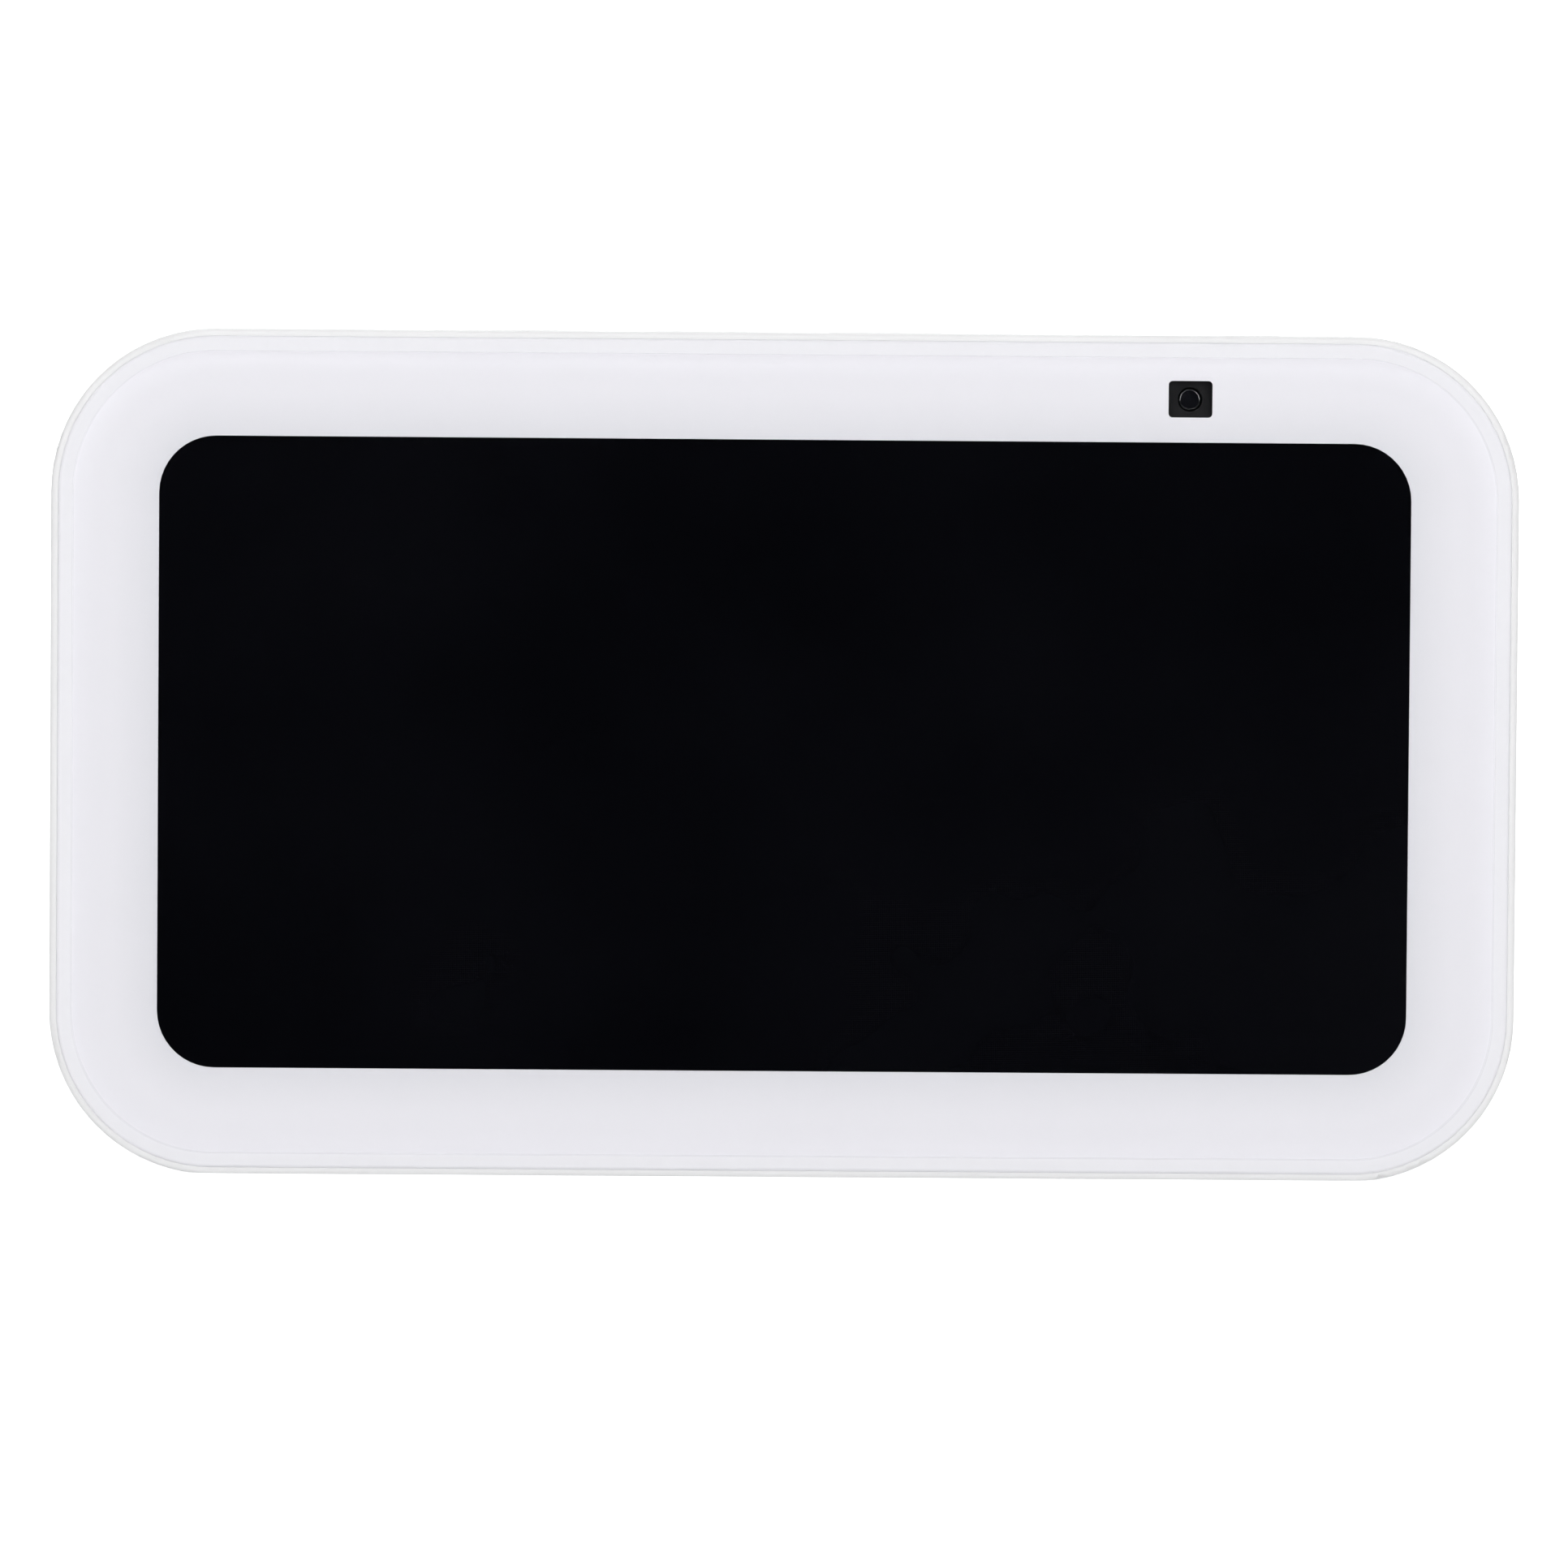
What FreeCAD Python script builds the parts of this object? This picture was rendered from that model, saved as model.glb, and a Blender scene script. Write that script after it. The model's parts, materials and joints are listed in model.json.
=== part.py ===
import FreeCAD, Part
import Sketcher
import math
import os

from FreeCAD import Placement, Rotation, Vector

# A countertop smart speaker with a 5.5 inch touch screen: a rounded glass face that leans back,
# a white rim with the buttons and camera shutter on its top edge, and a wedge-shaped rear body
# covered in knitted fabric, with a full-range driver in a sealed box behind a slotted shell.
#
# Two frames are used. The body frame has +Z up, the foot's underside at z = 0 and the front at -Y.
# The face frame is the same frame tipped back with the screen: X across, Z up the face from its
# lower edge, and Y straight into the product, so y = 0 is the outside of the cover glass.

os.makedirs("parts", exist_ok=True)
doc = FreeCAD.newDocument("SmartDisplay")
sheet = doc.addObject("Spreadsheet::Sheet", "Dims")


class Q:
    """A number with the spreadsheet expression that gives it."""

    def __init__(self, v, e=None):
        self.v = float(v)
        self.e = e if e is not None else repr(round(float(v), 6))

    def __add__(self, o):
        o = q(o)
        return Q(self.v + o.v, "(" + self.e + " + " + o.e + ")")

    def __radd__(self, o):
        return q(o) + self

    def __sub__(self, o):
        o = q(o)
        return Q(self.v - o.v, "(" + self.e + " - " + o.e + ")")

    def __rsub__(self, o):
        return q(o) - self

    def __mul__(self, o):
        o = q(o)
        return Q(self.v * o.v, "(" + self.e + " * " + o.e + ")")

    def __rmul__(self, o):
        return q(o) * self

    def __truediv__(self, o):
        o = q(o)
        return Q(self.v / o.v, "(" + self.e + " / " + o.e + ")")

    def __neg__(self):
        return Q(-self.v, "(0 - " + self.e + ")")


def q(x):
    return x if isinstance(x, Q) else Q(x)


DIMS = [
    # the face
    ("face_w", 147.0, "width of the face and of the product"),
    ("face_hgt", 84.8, "height of the face, measured up its slope"),
    ("face_rad", 16.4, "corner radius of the face"),
    ("face_tilt", 18.0, "lean of the face from upright, degrees"),
    ("ground_gap", 1.5, "height of the body above the table"),
    ("origin_back", 45.597, "distance of the origin behind the face's lower edge"),
    ("lip_w", 0.75, "width of the rim that shows round the glass"),
    ("lip_back", 0.25, "rim set back from the glass"),
    ("lip_round", 0.6, "rounding of the rim"),
    ("seat_gap", 0.05, "assembly gap round the glass"),
    ("glass_thk", 1.8, "cover glass thickness"),
    ("glass_round", 0.4, "rounded edge of the cover glass"),
    ("film_front", 1.85, "front of the printed film"),
    ("film_thk", 0.15, "printed film thickness"),
    ("seat_floor", 2.05, "depth of the seat for glass and film"),
    ("view_w", 125.5, "clear window of the display, width"),
    ("view_hgt", 63.4, "clear window of the display, height"),
    ("view_rad", 5.75, "clear window corner radius"),
    ("cam_x", 40.5, "camera window centre, across"),
    ("cam_up", 78.44, "camera window centre, up the face"),
    ("cam_w", 4.4, "camera window width"),
    ("cam_hgt", 3.67, "camera window height"),
    ("cam_rad", 0.42, "camera window corner radius"),
    # display stack
    ("lcd_w", 129.8, "display module width"),
    ("lcd_low", 6.4, "display module lower edge"),
    ("lcd_hgt", 68.6, "display module height"),
    ("lcd_front", 2.05, "display module front"),
    ("lcd_thk", 2.4, "display module thickness"),
    ("foam_thk", 1.1, "display foam thickness"),
    ("foam_w", 3.0, "display foam strip width"),
    ("bracket_thk", 0.8, "steel bracket thickness"),
    ("shelf_back", 5.6, "back of the frame's shelf"),
    # front frame
    ("frame_back", 15.0, "back of the front frame"),
    ("frame_wall", 2.0, "front frame wall"),
    ("tongue_len", 2.1, "locating tongue length"),
    ("bore_low", 7.4, "lower edge of the frame's rear cavity"),
    # top controls
    ("btn_deep", 9.4, "depth of the button row from the glass"),
    ("btn_len", 12.0, "button length"),
    ("btn_w", 4.6, "button width"),
    ("btn_proud", 0.3, "button height above the rim"),
    ("btn_gap", 0.15, "gap round a button"),
    ("mute_x", -26.0, "mute button centre"),
    ("down_x", -8.0, "volume down centre"),
    ("up_x", 10.0, "volume up centre"),
    ("slide_travel", 6.2, "shutter travel"),
    ("board_top", 77.2, "top control board, upper face"),
    ("board_thk", 1.0, "top control board thickness"),
    # main board
    ("main_front", 9.4, "front of the main board"),
    ("main_thk", 1.4, "main board thickness"),
    ("main_w", 100.0, "main board width"),
    ("main_low", 14.0, "main board lower edge"),
    ("main_hgt", 52.0, "main board height"),
    # rear body
    ("rear_deep", 83.6, "rearmost depth from the glass, in the face frame"),
    ("rear_mid", 34.0, "height of the rearmost point, up the face"),
    ("fabric_inset", 0.4, "fabric set in from the rim"),
    ("fabric_thk", 1.0, "knitted cover thickness"),
    ("glue_gap", 0.2, "glue film under the cover"),
    ("shell_wall", 2.2, "rear shell wall"),
    ("rear_corner", 17.8, "rear body corner radius at the rim"),
    # base
    ("foot_thk", 0.9, "rubber foot thickness"),
    ("base_top", 2.65, "top of the base plate"),
    ("base_y0", 17.4, "front edge of the base plate"),
    ("base_y1", 68.0, "rear edge of the base plate"),
    ("base_half_front", 50.0, "half width of the base plate in front"),
    ("base_half_rear", 30.0, "half width of the base plate at the rear"),
    ("base_rad", 7.0, "base plate corner radius"),
    ("screw_x_front", 43.0, "front base screws, across"),
    ("screw_y_front", 23.0, "front base screws, back"),
    ("screw_x_rear", 24.0, "rear base screws, across"),
    ("screw_y_rear", 61.0, "rear base screws, back"),
    ("ballast_thk", 3.5, "steel weight thickness"),
    # power inlet
    ("jack_z", 16.0, "height of the power inlet"),
    ("port_rad", 6.0, "inside radius of the inlet collar"),
    ("port_out", 7.2, "outside radius of the inlet collar"),
    ("port_y0", 84.6, "inner end of the inlet collar"),
    ("port_y1", 90.6, "outer end of the inlet collar"),
    # speaker
    ("drv_tilt", 41.0, "driver axis above level, degrees"),
    ("drv_y", 61.0, "baffle centre, back"),
    ("drv_z", 45.0, "baffle centre, up"),
    ("baffle_thk", 2.5, "baffle thickness"),
    ("baffle_len", 56.0, "baffle length"),
    ("box_w", 76.0, "speaker box width"),
    ("box_wall", 2.0, "speaker box wall"),
    ("gasket_thk", 0.8, "driver gasket thickness"),
    ("flange_rad", 25.5, "driver flange radius"),
    ("drv_hole", 21.2, "baffle hole radius"),
]
V = {}
for i, (alias, value, note) in enumerate(DIMS, start=1):
    sheet.set("A%d" % i, note)
    sheet.set("B%d" % i, repr(value))
    sheet.setAlias("B%d" % i, alias)
    V[alias] = value
doc.recompute()


def d(alias):
    return Q(V[alias], "Dims." + alias)


TILT = math.radians(V["face_tilt"])
FACE = Placement(
    Vector(0, 0, V["ground_gap"]), Rotation(Vector(1, 0, 0), -V["face_tilt"])
)
NAMES = []


def to_face(y, z):
    """(back, up) in the body frame to (depth, up the face) in the face frame."""
    z = z - V["ground_gap"]
    return (
        y * math.cos(TILT) - z * math.sin(TILT),
        y * math.sin(TILT) + z * math.cos(TILT),
    )


def to_body(dd, s):
    return (
        s * math.sin(TILT) + dd * math.cos(TILT),
        V["ground_gap"] + s * math.cos(TILT) - dd * math.sin(TILT),
    )


# ---------------------------------------------------------------- sketching helpers
def anchor(sk, geo, pos, x, y):
    """Dimension a sketch point from the origin."""
    for kind, val, axis in (("DistanceX", x, -2), ("DistanceY", y, -1)):
        if abs(val.v) < 1e-9:
            sk.addConstraint(sketcher_c("PointOnObject", geo, pos, axis))
        else:
            i = sk.addConstraint(sketcher_c(kind, -1, 1, geo, pos, val.v))
            sk.setExpression("Constraints[%d]" % i, val.e)


def sketcher_c(*a):
    return Sketcher.Constraint(*a)


def rrect(sk, cx, cy, w, hgt, r):
    cx, cy, w, hgt, r = q(cx), q(cy), q(w), q(hgt), q(r)
    x0, x1 = cx.v - w.v / 2, cx.v + w.v / 2
    y0, y1 = cy.v - hgt.v / 2, cy.v + hgt.v / 2
    R = r.v
    up = Vector(0, 0, 1)
    n = sk.GeometryCount
    if R > 0:
        L = lambda a, b: Part.LineSegment(Vector(*a, 0), Vector(*b, 0))
        A = lambda c, a, b: Part.ArcOfCircle(
            Part.Circle(Vector(*c, 0), up, R), math.radians(a), math.radians(b)
        )
        sk.addGeometry(
            [
                L((x0 + R, y0), (x1 - R, y0)),
                A((x1 - R, y0 + R), -90, 0),
                L((x1, y0 + R), (x1, y1 - R)),
                A((x1 - R, y1 - R), 0, 90),
                L((x1 - R, y1), (x0 + R, y1)),
                A((x0 + R, y1 - R), 90, 180),
                L((x0, y1 - R), (x0, y0 + R)),
                A((x0 + R, y0 + R), 180, 270),
            ],
            False,
        )
        for k in range(8):
            sk.addConstraint(sketcher_c("Tangent", n + k, 2, n + (k + 1) % 8, 1))
        for k in (0, 4):
            sk.addConstraint(sketcher_c("Horizontal", n + k))
        for k in (2, 6):
            sk.addConstraint(sketcher_c("Vertical", n + k))
        for k in (3, 5, 7):
            sk.addConstraint(sketcher_c("Equal", n + 1, n + k))
        i = sk.addConstraint(sketcher_c("Radius", n + 1, R))
        sk.setExpression("Constraints[%d]" % i, r.e)
        left, right, low, top = n + 6, n + 2, n, n + 4
    else:
        pts = [(x0, y0), (x1, y0), (x1, y1), (x0, y1)]
        for k in range(4):
            sk.addGeometry(
                Part.LineSegment(Vector(*pts[k], 0), Vector(*pts[(k + 1) % 4], 0)),
                False,
            )
        for k in range(4):
            sk.addConstraint(sketcher_c("Coincident", n + k, 2, n + (k + 1) % 4, 1))
        for k in (0, 2):
            sk.addConstraint(sketcher_c("Horizontal", n + k))
        for k in (1, 3):
            sk.addConstraint(sketcher_c("Vertical", n + k))
        left, right, low, top = n + 3, n + 1, n, n + 2
    i = sk.addConstraint(sketcher_c("DistanceX", left, 1, right, 1, w.v))
    sk.setExpression("Constraints[%d]" % i, w.e)
    i = sk.addConstraint(sketcher_c("DistanceY", low, 1, top, 1, hgt.v))
    sk.setExpression("Constraints[%d]" % i, hgt.e)
    ox, oy = cx - w / 2, cy - hgt / 2
    for kind, geo, val, axis in (
        ("DistanceX", left, ox, -2),
        ("DistanceY", low, oy, -1),
    ):
        if abs(val.v) < 1e-9:
            sk.addConstraint(sketcher_c("PointOnObject", geo, 1, axis))
        else:
            i = sk.addConstraint(sketcher_c(kind, -1, 1, geo, 1, val.v))
            sk.setExpression("Constraints[%d]" % i, val.e)


def circle(sk, cx, cy, r):
    cx, cy, r = q(cx), q(cy), q(r)
    n = sk.addGeometry(
        Part.Circle(Vector(cx.v, cy.v, 0), Vector(0, 0, 1), r.v), False
    )
    i = sk.addConstraint(sketcher_c("Radius", n, r.v))
    sk.setExpression("Constraints[%d]" % i, r.e)
    anchor(sk, n, 3, cx, cy)


def polygon(sk, pts):
    pts = [(q(a), q(b)) for a, b in pts]
    n, m = sk.GeometryCount, len(pts)
    for k in range(m):
        a, b = pts[k], pts[(k + 1) % m]
        sk.addGeometry(
            Part.LineSegment(Vector(a[0].v, a[1].v, 0), Vector(b[0].v, b[1].v, 0)),
            False,
        )
    for k in range(m):
        sk.addConstraint(sketcher_c("Coincident", n + k, 2, n + (k + 1) % m, 1))
    for k in range(m):
        anchor(sk, n + k, 1, *pts[k])


def body(label, place=None, keep=True):
    b = doc.addObject("PartDesign::Body", label)
    b.Label = label
    if place is not None:
        b.Placement = place
    if keep:
        NAMES.append(b)
    return b


def origin_plane(b, role):
    return [f for f in b.Origin.OriginFeatures if f.Role == role][0]


def sketch(b, role="XZ_Plane", off=0):
    """A sketch on one of the body's own planes, off along +Y, +Z or +X."""
    sk = b.newObject("Sketcher::SketchObject", b.Label + "_sketch")
    sk.AttachmentSupport = [(origin_plane(b, role), "")]
    sk.MapMode = "FlatFace"
    off = q(off)
    if role == "XZ_Plane":
        off = -off
    if abs(off.v) > 1e-12:
        sk.AttachmentOffset = Placement(Vector(0, 0, off.v), Rotation())
        sk.setExpression("AttachmentOffset.Base.z", off.e)
    return sk


def pad(b, sk, length, mid=False, back=False):
    """Into the product (+Y) from an XZ sketch, along the normal from the others."""
    p = b.newObject("PartDesign::Pad", b.Label + "_pad")
    p.Profile = sk
    length = q(length)
    p.Length = length.v
    p.setExpression("Length", length.e)
    p.Midplane = mid
    if not mid:
        xz = sk.AttachmentSupport[0][0].Role == "XZ_Plane"
        p.Reversed = xz != back
    sk.Visibility = False
    doc.recompute()
    if p.Shape.isNull() or not p.Shape.isValid():
        raise RuntimeError("pad failed on " + b.Label)
    return p


def pocket(b, sk, length, mid=False, back=False):
    """Into the product (+Y) from an XZ sketch, along the normal from the others."""
    before = b.Shape.Volume
    p = b.newObject("PartDesign::Pocket", b.Label + "_pocket")
    p.Profile = sk
    length = q(length)
    p.Length = length.v
    p.setExpression("Length", length.e)
    p.Midplane = mid
    if not mid:
        xz = sk.AttachmentSupport[0][0].Role == "XZ_Plane"
        p.Reversed = (not xz) != back
    sk.Visibility = False
    doc.recompute()
    if p.Shape.isNull() or not p.Shape.isValid():
        raise RuntimeError("pocket failed on " + b.Label)
    if p.Shape.Volume > before - 1e-4:
        raise RuntimeError("pocket cut nothing on " + b.Label)
    return p


def edges(shape, test):
    out = []
    for i, e in enumerate(shape.Edges, start=1):
        pts = [e.valueAt(t) for t in param3(e)]
        if all(test(p) for p in pts):
            out.append("Edge%d" % i)
    return out


def param3(e):
    a, b = e.ParameterRange
    return (a, (a + b) / 2, b)


def fillet(b, names, r, kind="Fillet"):
    f = b.newObject("PartDesign::" + kind, b.Label + "_" + kind.lower())
    f.Base = (f.BaseFeature, names)
    r = q(r)
    if kind == "Fillet":
        f.Radius = r.v
        f.setExpression("Radius", r.e)
    else:
        f.Size = r.v
        f.setExpression("Size", r.e)
    doc.recompute()
    if f.Shape.isNull() or not f.Shape.isValid() or "Invalid" in f.State:
        raise RuntimeError("fillet failed on " + b.Label)
    return f


def bind(o, prop, val):
    val = q(val)
    o.setExpression(prop, val.e)


def cyl(name, r, length, base, axis=(0, 0, 1)):
    c = doc.addObject("Part::Cylinder", name)
    r, length = q(r), q(length)
    c.Radius, c.Height = r.v, length.v
    bind(c, "Radius", r)
    bind(c, "Height", length)
    base = [q(v) for v in base]
    c.Placement = Placement(
        Vector(*[v.v for v in base]), Rotation(Vector(0, 0, 1), Vector(*axis))
    )
    for k, v in zip("xyz", base):
        bind(c, "Placement.Base." + k, v)
    return c


def box(name, lo, size):
    b = doc.addObject("Part::Box", name)
    lo, size = [q(v) for v in lo], [q(v) for v in size]
    b.Length, b.Width, b.Height = [v.v for v in size]
    for p, v in zip(("Length", "Width", "Height"), size):
        bind(b, p, v)
    b.Placement = Placement(Vector(*[v.v for v in lo]), Rotation())
    for k, v in zip("xyz", lo):
        bind(b, "Placement.Base." + k, v)
    return b


def cut(name, a, b):
    c = doc.addObject("Part::Cut", name)
    c.Base, c.Tool = a, b
    return c


def fuse(name, *objs):
    c = doc.addObject("Part::MultiFuse", name)
    c.Shapes = list(objs)
    return c


def group(label, objs, place=None):
    """Separate like solids in one node."""
    c = doc.addObject("Part::Compound", label)
    c.Label = label
    c.Links = list(objs)
    if place is not None:
        c.Placement = place
    NAMES.append(c)
    return c


def node(obj, label, place=None):
    obj.Label = label
    if place is not None:
        obj.Placement = place
    NAMES.append(obj)
    return obj


def shape_node(label, shape, place=None):
    f = doc.addObject("Part::Feature", label)
    f.Label = label
    f.Shape = shape
    if place is not None:
        f.Placement = place
    NAMES.append(f)
    return f


def screw_solids(label, spots, head_r, head_len, shank_r, shank_len, axis):
    """Cheese-head screws: head from the spot against axis, shank along axis, socket in the head."""
    solids = []
    for k, p in enumerate(spots):
        h = cyl(
            "%s_head_%d" % (label, k),
            head_r,
            head_len,
            [q(p[i]) - q(head_len) * axis[i] for i in range(3)],
            axis,
        )
        s = cyl("%s_shank_%d" % (label, k), shank_r, shank_len, p, axis)
        f = fuse("%s_blank_%d" % (label, k), h, s)
        drive = cyl(
            "%s_drive_%d" % (label, k),
            q(head_r) * 0.42,
            q(head_len) * 0.6,
            [q(p[i]) - q(head_len) * axis[i] for i in range(3)],
            axis,
        )
        solids.append(cut("%s_%d" % (label, k), f, drive))
    return solids


def screws(label, spots, head_r, head_len, shank_r, shank_len, axis, place=None):
    solids = screw_solids(label, spots, head_r, head_len, shank_r, shank_len, axis)
    return group(label, solids, place)


def revolve(b, pts, plane="XZ_Plane"):
    """A closed outline of (radius, height) pairs turned about the body's Z."""
    sk = sketch(b, plane)
    polygon(sk, pts)
    r = b.newObject("PartDesign::Revolution", b.Label + "_turn")
    r.Profile = sk
    r.ReferenceAxis = (sk, ["V_Axis"])
    r.Angle = 360.0
    sk.Visibility = False
    doc.recompute()
    if r.Shape.isNull() or not r.Shape.isValid():
        raise RuntimeError("revolution failed on " + b.Label)
    return r


def mid_y(e):
    return e.valueAt(sum(e.ParameterRange) / 2)


fw, fh = d("face_w"), d("face_hgt")
cy = fh / 2
deep = d("btn_deep")

# ================================================================ front: glass, film, display
glass_w, glass_h = fw - d("lip_w") * 2 - d("seat_gap") * 2, fh - d("lip_w") * 2 - d("seat_gap") * 2
glass_r = d("face_rad") - d("lip_w") - d("seat_gap")

b = body("cover_glass", FACE)
sk = sketch(b)
rrect(sk, 0, cy, glass_w, glass_h, glass_r)
pad(b, sk, d("glass_thk"))
fillet(b, edges(b.Tip.Shape, lambda p: abs(p.y) < 1e-6), d("glass_round"))

b = body("decor_film", FACE)
sk = sketch(b, off=d("film_front"))
rrect(sk, 0, cy, glass_w, glass_h, glass_r)
pad(b, sk, d("film_thk"))
sk = sketch(b, off=d("film_front"))
rrect(sk, 0, cy, d("view_w"), d("view_hgt"), d("view_rad"))
pocket(b, sk, d("film_thk") + 1)
sk = sketch(b, off=d("film_front"))
rrect(sk, d("cam_x"), d("cam_up"), d("cam_w"), d("cam_hgt"), d("cam_rad"))
pocket(b, sk, d("film_thk") + 1)

lcd_c = d("lcd_low") + d("lcd_hgt") / 2
b = body("display_panel", FACE)
sk = sketch(b, off=d("lcd_front"))
rrect(sk, 0, lcd_c, d("lcd_w"), d("lcd_hgt"), 0.8)
pad(b, sk, d("lcd_thk"))
# driver ledge along the lower edge is thinner than the backlight
sk = sketch(b, off=d("lcd_front") + 1.4)
rrect(sk, 0, d("lcd_low") + 1.0, d("lcd_w") - 10, 3.0, 0)
pocket(b, sk, d("lcd_thk"))

foam_front = d("lcd_front") + d("lcd_thk")
b = body("display_foam", FACE)
sk = sketch(b, off=foam_front)
rrect(sk, 0, lcd_c, d("lcd_w") - 1, d("lcd_hgt") - 1, 0.8)
pad(b, sk, d("foam_thk"))
sk = sketch(b, off=foam_front)
rrect(
    sk, 0, lcd_c, d("lcd_w") - 1 - d("foam_w") * 2, d("lcd_hgt") - 1 - d("foam_w") * 2, 0.5
)
pocket(b, sk, d("foam_thk") + 1)
sk = sketch(b, off=foam_front)
rrect(sk, 0, d("lcd_low") + 2.0, 24.0, 5.0, 0)
pocket(b, sk, d("foam_thk") + 1)

bracket_back = d("shelf_back") + d("bracket_thk")
b = body("display_bracket", FACE)
sk = sketch(b, off=d("shelf_back"))
rrect(sk, 0, 41.7, 139.0, 67.0, 12.0)
pad(b, sk, d("bracket_thk"))
sk = sketch(b, off=d("shelf_back"))
for x, z in ((-38, 55), (0, 62), (38, 55), (-38, 29), (38, 29)):
    rrect(sk, x, z, 26.0, 14.0 if x else 8.0, 3.0)
rrect(sk, 0, 33.0, 34.0, 22.0, 4.0)
rrect(sk, 0, 9.5, 24.0, 5.0, 0)
for x in (-67.6, 67.6):
    for z in (20.0, 42.0, 62.0):
        circle(sk, x, z, 0.95)
pocket(b, sk, d("bracket_thk") + 1)

screws(
    "display_screws",
    [[x, bracket_back, z] for x in (-67.6, 67.6) for z in (20.0, 42.0, 62.0)],
    1.9,
    1.0,
    0.75,
    3.4,
    (0, -1, 0),
    FACE,
)

# ================================================================ front frame
b = body("front_frame_moulding", FACE, keep=False)
sk = sketch(b, off=d("lip_back"))
rrect(sk, 0, cy, fw, fh, d("face_rad"))
pad(b, sk, d("frame_back") - d("lip_back"))
fillet(b, edges(b.Tip.Shape, lambda p: abs(p.y - V["lip_back"]) < 1e-6), d("lip_round"))
sk = sketch(b, off=d("lip_back"))
rrect(
    sk,
    0,
    cy,
    fw - d("lip_w") * 2,
    fh - d("lip_w") * 2,
    d("face_rad") - d("lip_w"),
)
pocket(b, sk, d("seat_floor") - d("lip_back"))
sk = sketch(b, off=d("seat_floor"))
rrect(sk, 0, lcd_c, d("lcd_w") + 1, d("lcd_hgt") + 0.4, 1.0)
pocket(b, sk, d("shelf_back") - d("seat_floor"))
sk = sketch(b, off=d("shelf_back"))
cav_h = fh - d("frame_wall") - d("bore_low")
rrect(
    sk,
    0,
    d("bore_low") + cav_h / 2,
    fw - d("frame_wall") * 2,
    cav_h,
    d("face_rad") - d("frame_wall"),
)
pocket(b, sk, d("frame_back") - d("shelf_back") + 1)
# the flat underside, level with the table
sk = sketch(b, "YZ_Plane")
t18 = math.tan(TILT)
polygon(sk, [(-4, -4 * t18), (-4, -9), (20, -9), (20, 20 * t18)])
pocket(b, sk, fw + 20, mid=True)
# seat and pilot holes for the display screws
sk = sketch(b, off=2.6)
for x in (-67.6, 67.6):
    for z in (20.0, 42.0, 62.0):
        circle(sk, x, z, 0.8)
pocket(b, sk, d("shelf_back") - 2.6)
# camera barrel hole, shutter recess and the shutter's way through the shelf
sk = sketch(b, off=d("seat_floor") + 0.5)
rrect(sk, d("cam_x"), d("cam_up"), 5.2, 4.4, 0.7)
pocket(b, sk, d("shelf_back") - d("seat_floor"))
sk = sketch(b, off=d("seat_floor"))
rrect(sk, 45.25, 79.1, 17.5, 7.2, 0)
pocket(b, sk, 0.65)
sk = sketch(b, off=d("seat_floor") + 0.5)
rrect(sk, 44.0, 81.65, 10.8, 1.5, 0)
pocket(b, sk, d("shelf_back") - d("seat_floor"))
# posts for the camera bracket
sk = sketch(b, off=d("shelf_back") - 0.5)
for x in (35.2, 45.8):
    circle(sk, x, 78.4, 1.6)
pad(b, sk, 5.2)
sk = sketch(b, off=7.4)
for x in (35.2, 45.8):
    circle(sk, x, 78.4, 0.75)
pocket(b, sk, 6)
# posts for the control board under the top wall
wall_low = fh - d("frame_wall")
for k, x in enumerate((-56.0, 20.2)):
    sk = sketch(b, "XY_Plane", off=d("board_top") + 0.05)
    circle(sk, x, deep, 2.2)
    pad(b, sk, wall_low - d("board_top") + 0.4)
sk = sketch(b, "XY_Plane", off=d("board_top") - 1)
for x in (-56.0, 20.2):
    circle(sk, x, deep, 0.75)
pocket(b, sk, 4.8)
# button openings, microphone ports, knob recess and slot
sk = sketch(b, "XY_Plane", off=wall_low - 0.4)
for a in ("mute_x", "down_x", "up_x"):
    rrect(
        sk,
        d(a),
        deep,
        d("btn_len") + d("btn_gap") * 2,
        d("btn_w") + d("btn_gap") * 2,
        d("btn_w") / 2 + d("btn_gap") - 0.01,
    )
for x in (-42.0, 27.5):
    circle(sk, x, deep, 0.5)
pocket(b, sk, 3)
sk = sketch(b, "XY_Plane", off=fh - 0.8)
rrect(sk, 43.9, 7.6, 14.0, 3.4, 1.6)
pocket(b, sk, 2)
sk = sketch(b, "XY_Plane", off=wall_low - 0.4)
rrect(sk, 44.0, 7.6, 9.8, 1.8, 0.4)
pocket(b, sk, 3)
frame_moulding = b

tabs = [
    box("frame_tab_%s" % n, [x, 9.5, 5.0], [8.8, 18.5, 4.5])
    for n, x in (("left", -47.4), ("right", 38.6))
]
tab_bores = [
    cyl("frame_tab_bore_%d" % k, 1.25, 6, [d("screw_x_front") * sg, d("screw_y_front"), 4.5])
    for k, sg in enumerate((-1, 1))
]
whole = fuse("front_frame_whole", frame_moulding, *tabs)
frame_bores = fuse("frame_bores", *tab_bores)
node(cut("front_frame", whole, frame_bores), "front_frame")

# ================================================================ camera and shutter
b = body("camera_module", FACE)
sk = sketch(b, off=5.8)
rrect(sk, d("cam_x"), d("cam_up"), 5.0, 5.0, 0.3)
pad(b, sk, 4.4)
sk = sketch(b, off=2.75)
rrect(sk, d("cam_x"), d("cam_up"), 4.9, 4.1, 0.6)
pad(b, sk, 3.15)
sk = sketch(b, off=2.7)
circle(sk, d("cam_x"), d("cam_up"), 1.25)
pocket(b, sk, 0.85)

b = body("camera_lens", FACE)
sk = sketch(b, off=3.0)
circle(sk, d("cam_x"), d("cam_up"), 1.18)
pad(b, sk, 0.54)
fillet(b, edges(b.Tip.Shape, lambda p: abs(p.y - 3.0) < 1e-6), 0.3)

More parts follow.
